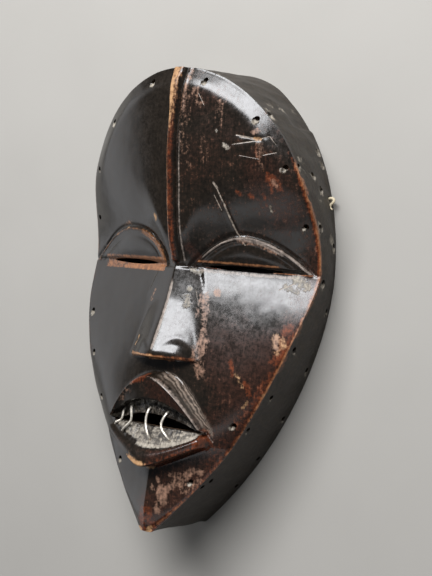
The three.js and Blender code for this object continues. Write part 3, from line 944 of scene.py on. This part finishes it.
def rib_wear_and_highlight(x, y):
    rise = y - EYE_Y
    if rise < 0:
        return
    half = rib_half(rise)
    on_rib = smooth((half + 0.4 - abs(x)) / 0.6) * smooth(rise / 2)
    yield "ochre", on_rib * smooth((rise - 56) / 22) * lerp(0.95, 0.5, smooth((x + 1) / 2))
    yield "amber", 0.5 * on_rib
    # A tan line on the rib's left edge: rubbed wood, and a painted highlight along that edge
    yield "tan", 0.95 * band(x + half + 0.1, 0.4) * smooth(rise / 2)
    yield "ruddy", on_rib
    # The pale line beside the groove is a painted highlight on the groove's outer edge
    groove_edge = band(x - half - 3.2, 0.5) * smooth(rise / 3)
    yield "pale", 0.56 * groove_edge * lerp(1, 0.5, smooth((rise - 50) / 30))
    yield "film", 0.5 * band(x - half - 4, 1.6) * smooth((rise - 40) / 20)


# %% Lids, eye slits and nose


def eye_wear_and_highlight(x, y):
    above = y - EYE_Y
    if above >= 0 and abs(x) > 6:
        depth = lid_depth(x, y)
        if x > 0:
            # The pale bands along the right lid's rim are painted highlights where the rim catches the
            # light
            yield "pale", 0.85 * band(depth - 0.7, 0.5) * smooth((x - 11) / 5)
            yield "pale", 0.7 * band(depth - 1.6, 0.8) * smooth((x - 30) / 8) * smooth((58 - x) / 8)
            yield "film", 0.62 * band(depth - 2.4, 1.1) * smooth((x - 27) / 8) * smooth((54 - x) / 8)
        else:
            inner = smooth((x + 30) / 10) * smooth((depth + 0.5) / 0.5)
            # On the left lid, a tan line along the rim: rubbed wood, and a painted highlight along it
            yield "tan", 0.5 * band(depth - 0.8, 0.5)
            yield "tan", 0.74 * inner * band(depth - 1.5, 1.2)
    if x < 0:
        frame = smooth((above + 3.9) / 0.9) * smooth((4 - above) / 0.9)
        frame *= smooth((x + 60.5) / 3) * smooth(-7.4 - x)
        yield "tan", frame * lerp(0.55, 0.86, smooth((x + 48) / 20))
        yield "amber", 0.4 * frame
    else:
        yield "tan", 0.8 * band(above - 2.9, 0.5) * smooth((x - 9) / 3) * smooth((54 - x) / 6)
        yield "pale", 0.66 * band(above + 1.7, 0.8) * smooth((x - 9) / 4) * smooth((64 - x) / 4)


def nose_wear_and_highlight(x, y):
    """The rubbed lower rim of the nose, and a painted highlight along its ridge."""
    down = EYE_Y - NOSE_TOP - y
    if abs(x) < 21 and 2 < down < 45.2:
        rim = smooth((down - 42.1 - 0.5 * grain(x, y, 4, 5)) / 0.9) * smooth((21 - abs(x)) / 3)
        right = smooth((x + 2) / 10)
        yield "tan", rim * lerp(0.9, 0.4, right)
        yield "ochre", rim * lerp(0.6, 0.1, right)
        yield "amber", rim * 0.6
        # Painted highlight along the ridge of the nose
        yield "pale", 1.3 * band(x - 0.2, 0.6) * smooth((down - 3) / 8) * smooth((41 - down) / 2)


# %% Lips and the inside of the mouth


def lip_wear_and_highlight(x, y):
    if y >= EYE_Y - 40 or abs(x) >= 31:
        return
    crest = band(y - crest_y(x) + 0.1, 0.4)
    yield "amber", 0.4 * crest
    # The pale line on the crest is a painted highlight, strongest on the right, over the rubbed amber
    yield "pale", crest * lerp(0.35, 0.85, smooth((x - 1) / 4))
    upper = smooth((crest_y(x) - y) / 1.5) * smooth((y - inside_y(x)) / 1.5)
    yield "ruddy", 0.85 * upper * smooth((x + 6) / 10)
    chamfer = (y - crest_y(x)) / max(foot_y(x) - crest_y(x), 0.1)
    if 0 < chamfer < 1.4 and x > 1:
        yield "tooled", band(chamfer - 0.82, 0.32) * smooth((x - 1) / 5)
    front = smooth(shelf_y(x) - 0.4 - y) * smooth(y - tip_y(x) + 2.5)
    yield "ruddy", front * lerp(0.2, 0.9, smooth((x + 2) / 8))
    yield "ochre", front * band(y - tip_y(x), 2.2) * smooth((8 - abs(x + 3)) / 4)
    yield "amber", 0.5 * front * band(y - tip_y(x), 1.6) * smooth((x + 12) / 6)
    yield "amber", 0.9 * front * smooth((x - 23.5) / 2) * smooth((28.6 - x) / 0.8)


def crust_and_painted_light(x, y):
    """White residue on the lower lip's shelf and in the recess behind it, a dark dull tone in the recess,
    painted shade at the back of the shelf and a painted highlight along its front edge.
    """
    if y >= EYE_Y - 40 or abs(x) >= 31:
        return
    inside = inside_mouth(x, y)
    on_shelf = inside * smooth(SLOT_BOTTOM_Y + 0.6 - y)
    behind = inside - on_shelf
    yield "residue", behind * max(0.22, 0.72 * band(y - inside_y(x) + 1.5, 0.8))
    yield "dull", 0.5 * behind
    back = y - shelf_y(x)
    right = smooth((x + 9) / 3)
    # Towards the back of the shelf the residue thins and the dark dull tone shows: painted shade
    yield "dull", 0.7 * on_shelf * right
    crust = lerp(0.6 * smooth((back - 1.7) / 1.2), lerp(0.64, 0.45, smooth((back - 1.6) / 2.6)), right)
    yield "residue", on_shelf * crust
    # White band along the shelf's front edge: residue, and a painted highlight on that edge
    yield "residue", 1.2 * band(back - 0.8, 0.7) * smooth((x + 8) / 4) * smooth((27 - x) / 3)


# %% Age the face and paint its light by its zones
for index, vert in enumerate(carving.data.vertices):
    if on_face[index]:
        for zone in (edge_wear, rib_wear_and_highlight, eye_wear_and_highlight, nose_wear_and_highlight, lip_wear_and_highlight, crust_and_painted_light):
            for name, amount in zone(vert.co.x, vert.co.y):
                more(name, index, amount)

# %% Patches, streaks and scratches, each from one end to the other
# Each: x and y where it starts, x and y where it ends, half its width and its strength
PATCHES = {
    "film": [
        (17.3, 1.5, 19, -6.5, 1.6, 0.68), (19.4, -8, 20.6, -20, 1.3, 0.62),
        (20.6, -20.5, 20.2, -26, 2.4, 0.7), (21, -31, 22.2, -35.2, 2.2, 0.66),
        (22.4, 3.9, 22.8, 3.3, 1.5, 0.8), (15.2, 2, 15.6, -9, 0.9, 0.5), (55, -15, 56, -20, 1.1, 1),
        (7, -93, 8.2, -98, 2.2, 0.8), (11, -90.6, 8.4, -93.6, 1.7, 0.7), (14, -85.8, 13, -89.4, 1.8, 0.68),
        (16, -88, 18.4, -92, 2, 0.62), (19.6, -83.2, 17.6, -86, 1.7, 0.7),
        (22.2, -82, 25.2, -82.4, 1.4, 0.75), (4.2, -88, 5.4, -89.4, 0.9, 0.85),
        (2.2, -91.6, 3, -93.4, 0.9, 0.75), (5.4, -91.6, 6, -91.9, 0.5, 0.95),
        (5.4, -101.6, 6.2, -103.6, 1.2, 0.75), (10.4, -86.2, 12, -84.6, 0.9, 0.6),
        (24.6, -86.6, 21.6, -90, 1.3, 0.55), (-0.6, -108.4, -0.8, -112, 0.4, 0.6),
        (41.8, 79.6, 43.6, 80, 1.1, 0.6), (45, 75.5, 45.8, 63.5, 1.6, 0.36),
        (24.8, 92.5, 25.8, 84.5, 2.2, 0.34), (17, 77, 18.4, 66, 2.2, 0.18), (8.6, 74, 9.6, 64, 1.8, 0.24),
        (6, 96, 8.4, 84, 2.6, 0.4), (11, 99, 14, 93, 2.2, 0.45), (51.2, 57.4, 52.4, 55.4, 1, 0.62),
        (-40, 33.6, -33, 35.2, 0.8, 0.45), (-12, 2, -13.4, -2.5, 0.9, 0.5),
        (-9.9, -43.4, -9.4, -43.2, 0.7, 0.9), (-19, -52, -11.4, -47.4, 1.6, 0.42),
        (28.4, -60.6, 28.8, -61.6, 0.6, 0.6),
    ],
    "residue": [
        (9, 4.8, 9.6, 4.2, 1, 0.8), (8.6, 0.5, 10, -3.4, 1.5, 0.55), (8.5, 13.8, 12.5, 12.4, 1, 0.75),
        (58.5, 13.2, 64, 9.6, 1.8, 0.75), (54, 9.6, 60.5, 7, 1.1, 0.55), (28.4, 73.2, 30, 72, 1, 0.85),
        (24.2, 79.8, 24.4, 79.4, 0.6, 0.8), (48.8, 46.4, 49.2, 43.8, 0.5, 0.8),
    ],
    "ochre": [
        (55, -14.6, 56.4, -21.8, 1.6, 0.62), (58.6, -15.2, 59.4, -18.6, 1.2, 0.6),
        (39.6, -33.6, 43.4, -39.4, 0.8, 0.5), (45.8, -46, 44.2, -49, 0.6, 0.55),
        (53.5, -42.5, 52.3, -42.8, 0.6, 0.75), (-4, -113.6, -3.4, -114.6, 1, 0.8),
        (2.6, -112, 1.4, -114.8, 1, 0.8), (43, 76.6, 45.4, 76.4, 0.8, 0.8),
        (-11, 39.2, -10.6, 36.8, 0.8, 0.75), (-36.5, 32.6, -35.6, 32.2, 0.6, 0.6),
        (-15.8, -20.6, -17.4, -25.4, 0.7, 0.66),
    ],
    "amber": [
        (60.6, -11, 57.4, -25, 2.8, 0.7), (55.4, -33, 48.6, -47, 2.2, 0.42),
        (36.2, -28.2, 37.6, -31, 0.9, 0.75), (37.2, -32, 38.4, -34.8, 0.6, 0.66),
        (44.4, -37.4, 46.8, -43, 1.2, 0.66), (46.6, -52, 41.6, -60, 2.6, 0.32), (36, -66, 29, -78, 2, 0.3),
        (0.4, -105, 3.4, -113.5, 3.4, 0.55), (-2.4, -108, -1, -113.6, 2.2, 0.8),
        (43.6, 73, 44.2, 66, 1, 0.34), (50, 58.6, 52.6, 55, 2.1, 0.6), (53.4, 55.6, 50.6, 53.4, 1.4, 0.55),
        (48.8, 61.6, 49.6, 60.4, 0.8, 0.6), (40.2, 50.6, 41.2, 49.8, 0.9, 0.72),
        (34.4, 52, 35.8, 50.6, 0.8, 0.58), (46.4, 51.8, 47.4, 46.4, 0.8, 0.5),
        (-9.7, -42, -2, -39.4, 1.5, 0.85), (26.6, -62, 28.2, -65.6, 1.7, 0.8),
    ],
    "ruddy": [
        (34, -22, 47, -50, 13, 0.72), (52, -22, 46, -46, 9, 0.85), (32, -60, 22, -84, 9, 0.72),
        (11, -90, 24, -86, 9, 0.8), (46, 62, 54, 44, 9, 0.66), (28, 78, 14, 64, 12, 0.4),
        (22, 96, 9, 92, 7, 0.5), (8, 24, 11, 19, 2.4, 0.8), (1, -100, 3, -113.5, 5, 1),
    ],
}
tree = kdtree.KDTree(vertex_count)
for index, vert in enumerate(carving.data.vertices):
    tree.insert(vert.co, index)
tree.balance()


def mark(name, start, end, half, strength):
    """Spreads one kind of ageing along a short line on the face."""
    middle = ((start[0] + end[0]) / 2, (start[1] + end[1]) / 2)
    reach = math.hypot(end[0] - start[0], end[1] - start[1]) / 2 + 2.1 * half + 1
    for at, index, _ in tree.find_range((*middle, face_height(*middle)), reach):
        if on_face[index]:
            distance = segment_distance(at.x, at.y, start, end)
            more(name, index, strength * band(distance, half))


for name, patches in PATCHES.items():
    for start_x, start_y, end_x, end_y, half, strength in patches:
        mark(name, (start_x, start_y), (end_x, end_y), half, strength)
    print(name, "patches", len(patches))

# %% Pale broken lips of the bores
for centre, size in chips:
    for at, index, distance in tree.find_range(centre, 1.35 * size):
        lower = smooth((centre.y + 1.1 - at.y) / 0.9)
        more("residue", index, 1.1 * lower * smooth(2.6 - 1.9 * distance / size))

WALL_CHIPS = [
    ((43.8, 91.4, 36.8), 1.1), ((58.8, 68.7, 28.3), 1.2), ((60.8, 64.1, 25.9), 0.8),
    ((60.9, 63.1, 20.6), 0.9), ((61, 57.6, 12.1), 0.8), ((64.4, 51.1, 16), 0.9), ((67.3, 39.7, 20.6), 1.1),
    ((40.4, 95, 29.2), 1.4), ((41.5, 93.9, 19.8), 1.6), ((39.1, 96, 6), 1.1), ((52.8, 76, 3), 1.4),
    ((56, 69.4, 4), 1.5), ((68, 33, 6), 2.2),
]
for centre, size in WALL_CHIPS:
    for at, index, distance in tree.find_range(centre, 2 * size + 1):
        more("residue", index, 0.9 * smooth(2 - 1.1 * distance / size))

# %% Store the ageing and the painted light on the mesh
for name, values in ageing.items():
    attribute = carving.data.attributes.new(name, "FLOAT", "POINT")
    attribute.data.foreach_set("value", values)
    covered = sum(value > 0.5 for value in values) / vertex_count
    print(name, "covers", round(100 * covered, 1), "% of the mesh")
carving.data.transform(Matrix.Scale(MM, 4))
carving.data.shade_smooth()
carving.data.set_sharp_from_angle(angle=math.radians(38))
carving.data.calc_loop_triangles()
print("mask_carving", len(carving.data.loop_triangles), "triangles")
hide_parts("mask_body")
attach(carving, "root")

# %% [markdown]
# ## The end of fibre
# One strand of dry raffia is left in a hole near the rim on the right. A thin round curve follows its curl
# and tapers to the tip, and is then made a mesh.

# %% Curled strand of fibre
STRAND_RADIUS = 0.7
# Each point: millimetres out of the wall, down towards the chin, up from the floor, and share of the radius
STRAND = [
    (-3, 0, 0, 1), (0.5, -0.2, 0, 1), (1.9, 0, 0.2, 1), (3.2, 1, 0.4, 1), (3.3, 2.2, 0.6, 0.95),
    (1.9, 3, 0.7, 0.9), (1.1, 4, 0.6, 0.8), (1.5, 5, 0.4, 0.7), (2.7, 5.8, 0.4, 0.55),
]
strand_foot, strand_out = side_point(RIM_BORES[2], RIM_BORE_Z, 1)
strand_curve = bpy.data.curves.new("strand_path", "CURVE")
strand_curve.dimensions = "3D"
strand_curve.bevel_depth = STRAND_RADIUS
strand_curve.bevel_resolution = 2
strand_curve.use_fill_caps = True
strand_curve.resolution_u = 6
spline = strand_curve.splines.new("NURBS")
spline.points.add(len(STRAND) - 1)
for point, (outwards, down, up, share) in zip(spline.points, STRAND):
    point.co = (*(strand_foot + strand_out * outwards + Vector((0, -down, up))), 1)
    point.radius = share
spline.order_u = 4
spline.use_endpoint_u = True
strand_path = bpy.data.objects.new("strand_path", strand_curve)
bpy.context.collection.objects.link(strand_path)
bpy.context.view_layer.update()
bm = bmesh.new()
bm.from_mesh(strand_path.evaluated_get(bpy.context.evaluated_depsgraph_get()).to_mesh())
bmesh.ops.remove_doubles(bm, verts=bm.verts, dist=0.01)
bmesh.ops.recalc_face_normals(bm, faces=bm.faces)
bpy.data.objects.remove(strand_path)
strand = new_piece("fibre_strand", bm, 50)
print("strand", len(strand.data.polygons), "faces")
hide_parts("fibre_peg")
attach(strand, "root")

# %% [markdown]
# ## Materials
# A material here is a stack: the sound finish at the bottom, then each kind of ageing, and each painted
# light, laid over it where its attribute and a noise agree. Every layer changes the colour and the
# roughness together.

# %% Colours and nodes


def linear(colour):
    """A colour written as an sRGB hex value, as Blender's shaders want it."""
    parts = [int(colour[at:at + 2], 16) / 255 for at in (1, 3, 5)]
    return (*(part / 12.92 if part <= 0.04045 else ((part + 0.055) / 1.055) ** 2.4 for part in parts), 1)


def set_inputs(node, inputs):
    """Gives each input of a node a value, or a link from an output."""
    for name, value in inputs.items():
        if isinstance(value, bpy.types.NodeSocket):
            node.id_data.links.new(value, node.inputs[name])
        else:
            node.inputs[name].default_value = value


def add_node(material, kind, inputs, out=0, **settings):
    """Adds a node with its settings and inputs, and gives back one of its outputs."""
    made = material.node_tree.nodes.new("ShaderNode" + kind)
    for name, value in settings.items():
        setattr(made, name, value)
    set_inputs(made, inputs)
    return made.outputs[out]


def new_material(name):
    """A material, its shader, and add_node for this material."""
    material = bpy.data.materials.new(name)
    material.use_nodes = True
    return material, material.node_tree.nodes["Principled BSDF"], partial(add_node, material)


def lumps(place, size, detail, rough=0.5):
    """Inputs for a noise whose lumps are about this many millimetres."""
    return {"Vector": place, "Scale": 1 / (size * MM), "Detail": detail, "Roughness": rough}


def mapped(value, low, high, to_low=0.0, to_high=1.0):
    """Inputs that stretch a value from low..high to a new range."""
    return {"Value": value, "From Min": low, "From Max": high, "To Min": to_low, "To Max": to_high}


# %% Blackened hardwood
# Dense hardwood, carved, blackened with mud and plant dye, then oiled and polished by handling. To the eye
# it is a near-black gloss with soft broad reflections, where fine streaks run down the grain.
hardwood, hardwood_shader, wood_node = new_material("blackened_oiled_hardwood")
place = wood_node("TexCoord", {}, "Object")
along_grain = wood_node("Mapping", {"Vector": place, "Scale": (1, 0.07, 0.5)})
fibres = wood_node("TexNoise", lumps(along_grain, 0.9, 5, 0.65))
speckle = wood_node("TexNoise", lumps(place, 1.7, 6, 0.7))
smudges = wood_node("TexNoise", lumps(place, 7, 5, 0.6))
streaks = wood_node("MapRange", mapped(fibres, 0.36, 0.66))
coarse = wood_node("MapRange", mapped(smudges, 0.34, 0.68))
fine = wood_node("MapRange", mapped(speckle, 0.36, 0.66))
grainy = wood_node("Mix", {0: 0.3, 2: fine, 3: streaks}, data_type="FLOAT")
ragged = wood_node("Mix", {0: 0.28, 2: grainy, 3: coarse}, data_type="FLOAT")
colour = wood_node("Mix", {0: ragged, 6: linear("#0f0d0a"), 7: linear("#272019")}, 2, data_type="RGBA")
roughness = wood_node("MapRange", mapped(ragged, 0.2, 0.8, 0.15, 0.27))

# %% Lines drawn in the material
# Fine scratches, because the mesh is too coarse for a line of a third of a millimetre
flat_place = wood_node("Mapping", {"Vector": place, "Scale": (1, 1, 0)})
scratched = 0.0
for start, end, half, _ in SCRATCHES:
    foot = Vector((*start, 0)) * MM
    span = Vector((*end, 0)) * MM - foot
    from_foot = wood_node("VectorMath", {0: flat_place, 1: foot}, operation="SUBTRACT")
    unit = span / span.length_squared
    along = wood_node("VectorMath", {0: from_foot, 1: unit}, "Value", operation="DOT_PRODUCT")
    share = wood_node("Math", {0: along, 1: 1}, operation="MULTIPLY", use_clamp=True)
    nearest = wood_node("VectorMath", {0: span, "Scale": share}, operation="SCALE")
    gap = wood_node("VectorMath", {0: from_foot, 1: nearest}, "Value", operation="DISTANCE")
    line = wood_node("MapRange", mapped(gap, 0.5 * half * MM, 1.3 * half * MM, 1, 0))
    scratched = wood_node("Math", {0: line, 1: scratched}, operation="MAXIMUM")
dusty = wood_node("MapRange", mapped(fine, 0.1, 0.6, 0.3, 0.8))
scratched = wood_node("Math", {0: scratched, 1: dusty}, operation="MULTIPLY")

# Flecks where the finish is nicked down to brown wood, only where the face has been rubbed
grit = wood_node("Mapping", {"Vector": place, "Scale": (1, 0.45, 1)})
nicks = wood_node("TexNoise", lumps(grit, 1.1, 4, 0.75))
nicked = wood_node("MapRange", mapped(nicks, 0.65, 0.72))
rubbed = wood_node("Attribute", {}, "Fac", attribute_name="ruddy")
rubbed = wood_node("MapRange", mapped(rubbed, 0.15, 0.6, 0, 0.7))
nicked = wood_node("Math", {0: nicked, 1: rubbed}, operation="MULTIPLY")

# Strokes of the gouge in the chamfer beside the upper lip: pale lines that follow the curve of its crest
across = wood_node("SeparateXYZ", {"Vector": place}, "X")
up = wood_node("SeparateXYZ", {"Vector": place}, "Y")
stroke = across
for operation, values in (
    ("MULTIPLY", {1: 1 / MM}), ("ABSOLUTE", {}), ("POWER", {1: CREST_POWER}),
    ("MULTIPLY_ADD", {1: CREST_BEND, 2: CREST_DROP - EYE_Y}),
    ("ADD", {1: wood_node("Math", {0: up, 1: 1 / MM}, operation="MULTIPLY")}),
    ("ADD", {1: wood_node("Math", {0: smudges, 1: 3}, operation="MULTIPLY")}),
    ("MULTIPLY", {1: 5.2}), ("SINE", {}),
):
    stroke = wood_node("Math", {0: stroke, **values}, operation=operation)
stroke = wood_node("MapRange", mapped(stroke, -0.8, 1, 0.16, 0.8))
tooled = wood_node("Attribute", {}, "Fac", attribute_name="tooled")
tooled = wood_node("Math", {0: stroke, 1: tooled}, operation="MULTIPLY")

# %% Layers of ageing and of painted light over the finish
# Each: its name; the spread of the noise, the softness of the edge and the strength, or None for a mask
# drawn above; the deep colour, the light colour and the roughness
LAYERS = [
    ("ruddy", (1.0, 0.5, 0.75), "#1c100b", "#41251a", 0.27),
    ("nicked", None, "#4a2a1a", "#8c5a36", 0.45),
    ("tooled", None, "#5d5047", "#b3a292", 0.4),
    ("scratched", None, "#85776a", "#bdb0a1", 0.5),
    ("bare", (0.3, 0.25, 1), "#33241a", "#6a4f36", 0.75),
    # Dull: the side wall's own dull tone, and painted shade at the back of the lower lip's shelf
    ("dull", (0.3, 0.2, 1), "#090705", "#3c3124", 0.5),
    ("amber", (0.9, 0.4, 0.86), "#30140a", "#824020", 0.26),
    # Tan: rubbed wood, and painted highlights on the rib's left edge and the left lid's rim
    ("tan", (0.45, 0.3, 0.85), "#5a3420", "#b07a50", 0.38),
    ("ochre", (1.1, 0.34, 0.9), "#7a5230", "#c69e72", 0.46),
    ("film", (1.3, 0.38, 0.72), "#5a4236", "#b0886f", 0.5),
    # Pale marks, and painted highlights along the nose's ridge, the right lid's rim, the upper lip's crest
    # and beside the rib's groove
    ("pale", (0.45, 0.3, 0.72), "#6b5f57", "#b8aa9e", 0.42),
    # Residue, which also paints a highlight along the front edge of the lower lip's shelf
    ("residue", (1.1, 0.42, 0.86), "#5f564a", "#beb5a5", 0.65),
]
masks = {"nicked": nicked, "tooled": tooled, "scratched": scratched}
for name, edge, deep, light, rough in LAYERS:
    if edge:
        spread, soft, strength = edge
        middle = 0.52 + 0.54 * spread
        amount = wood_node("Attribute", {}, "Fac", attribute_name=name)
        broken = wood_node("Math", {0: ragged, 1: spread, 2: amount}, operation="MULTIPLY_ADD")
        present = wood_node("MapRange", mapped(amount, 0, 0.1, 0, strength))
        step = mapped(broken, middle - soft, middle + soft, 0, present)
        masks[name] = wood_node("MapRange", step, interpolation_type="SMOOTHSTEP")
    tone = wood_node("Mix", {0: grainy, 6: linear(deep), 7: linear(light)}, 2, data_type="RGBA")
    colour = wood_node("Mix", {0: masks[name], 6: colour, 7: tone}, 2, data_type="RGBA")
    roughness = wood_node("Mix", {0: masks[name], 2: roughness, 3: rough}, data_type="FLOAT")

rough_ground = wood_node("Math", {0: masks["residue"], 1: masks["dull"]}, operation="MAXIMUM")
crumbs = wood_node("Math", {0: coarse, 1: 1.6, 2: fine}, operation="MULTIPLY_ADD")
crumbs = wood_node("Math", {0: crumbs, 1: rough_ground}, operation="MULTIPLY")
height = wood_node("Math", {0: streaks, 1: 0.06, 2: crumbs}, operation="MULTIPLY_ADD")
height = wood_node("Math", {0: scratched, 1: -0.8, 2: height}, operation="MULTIPLY_ADD")
bump = wood_node("Bump", {"Height": height, "Strength": 0.4, "Distance": 0.00025})
set_inputs(hardwood_shader, {"Base Color": colour, "Roughness": roughness, "Normal": bump, "IOR": 1.5})
carving.data.materials.clear()
carving.data.materials.append(hardwood)

# %% Drawn aluminium wire
# Soft aluminium wire, drawn and never polished. It looks pale grey and dull, with dirt in its fine lines.
wire_metal, wire_shader, wire_node = new_material("dull_drawn_aluminium")
place = wire_node("TexCoord", {}, "Object")
dirt = wire_node("TexNoise", lumps(place, 1.4, 5, 0.7))
dirty = wire_node("MapRange", mapped(dirt, 0.5, 0.72))
colour = wire_node("Mix", {0: dirty, 6: linear("#ebe4d8"), 7: linear("#a0957f")}, 2, data_type="RGBA")
roughness = wire_node("MapRange", mapped(dirt, 0, 1, 0.42, 0.7))
bump = wire_node("Bump", {"Height": dirt, "Strength": 0.25, "Distance": 0.0002})
set_inputs(wire_shader, {"Base Color": colour, "Roughness": roughness, "Normal": bump, "Metallic": 1})

# %% Dry plant fibre
# A twisted end of raffia, dry and pale. It is matte, with streaks along the strand.
raffia, raffia_shader, raffia_node = new_material("dry_raffia")
place = raffia_node("TexCoord", {}, "Object")
threads = raffia_node("TexNoise", lumps(place, 0.6, 3, 0.6))
colour = raffia_node("Mix", {0: threads, 6: linear("#a89674"), 7: linear("#efe4c8")}, 2, data_type="RGBA")
bump = raffia_node("Bump", {"Height": threads, "Strength": 0.4, "Distance": 0.0003})
set_inputs(raffia_shader, {"Base Color": colour, "Roughness": 0.85, "Normal": bump})

strand.data.materials.append(raffia)
for number in (1, 2, 3, 4):
    wire = bpy.data.objects[f"wire_tooth_{number}"]
    wire.data.materials.clear()
    wire.data.materials.append(wire_metal)

# %% [markdown]
# ## Floor and light
# The gloss is only as good as what it reflects. One bright strip above the crown gives the crisp highlights
# on the nose and under the right eye. One wide dim panel low on the left gives the grey sheen of the left
# side.

# %% Floor
bm = bmesh.new()
bmesh.ops.create_grid(bm, x_segments=1, y_segments=1, size=3 / MM)
floor = new_piece("floor", bm)
paper, paper_shader, paper_node = new_material("pale_backdrop_paper")
place = paper_node("TexCoord", {}, "Object")
mottle = paper_node("TexNoise", lumps(place, 60, 3))
colour = paper_node("Mix", {0: mottle, 6: linear("#9c9993"), 7: linear("#a3a09a")}, 2, data_type="RGBA")
set_inputs(paper_shader, {"Base Color": colour, "Roughness": 0.8})
floor.data.materials.append(paper)

# %% Lights
# Each light: degrees round from the left side towards the crown, degrees above the floor, width and height
# in degrees as the mask sees it, and radiance. All stand a metre away.
AIMED_AT = 40
LIGHTS = {
    "strip_over_crown": (96, 50, 52, 20, 20),
    "panel_on_left": (-1, 16, 62, 34, 0.55),
    "panel_core_on_left": (0, 13, 48, 22, 0.55),
    "fill_from_chin": (-104, 56, 34, 11, 1.1),
}
for name, (round_degrees, up_degrees, wide, high, radiance) in LIGHTS.items():
    lamp = bpy.data.lights.new(name, "AREA")
    lamp.shape = "RECTANGLE"
    lamp.size = 2 * math.tan(math.radians(wide / 2))
    lamp.size_y = 2 * math.tan(math.radians(high / 2))
    lamp.energy = math.pi * radiance * lamp.size * lamp.size_y
    lamp.color = linear("#fbfcff")[:3]
    lamp_object = bpy.data.objects.new(name, lamp)
    level = math.cos(math.radians(up_degrees))
    way = Vector((
        -math.cos(math.radians(round_degrees)) * level,
        math.sin(math.radians(round_degrees)) * level,
        math.sin(math.radians(up_degrees)),
    ))
    stand = Matrix.Translation(way + Vector((0, 0, AIMED_AT * MM)))
    lamp_object.matrix_world = stand @ way.to_track_quat("Z", "Y").to_matrix().to_4x4()
    bpy.context.collection.objects.link(lamp_object)
    print(name, "power", round(lamp.energy, 2), "W")

world = bpy.data.worlds.new("studio")
bpy.context.scene.world = world
world.use_nodes = True
set_inputs(world.node_tree.nodes["Background"], {"Color": linear("#d8dce4"), "Strength": 0.12})
bpy.context.scene.view_settings.view_transform = "Standard"
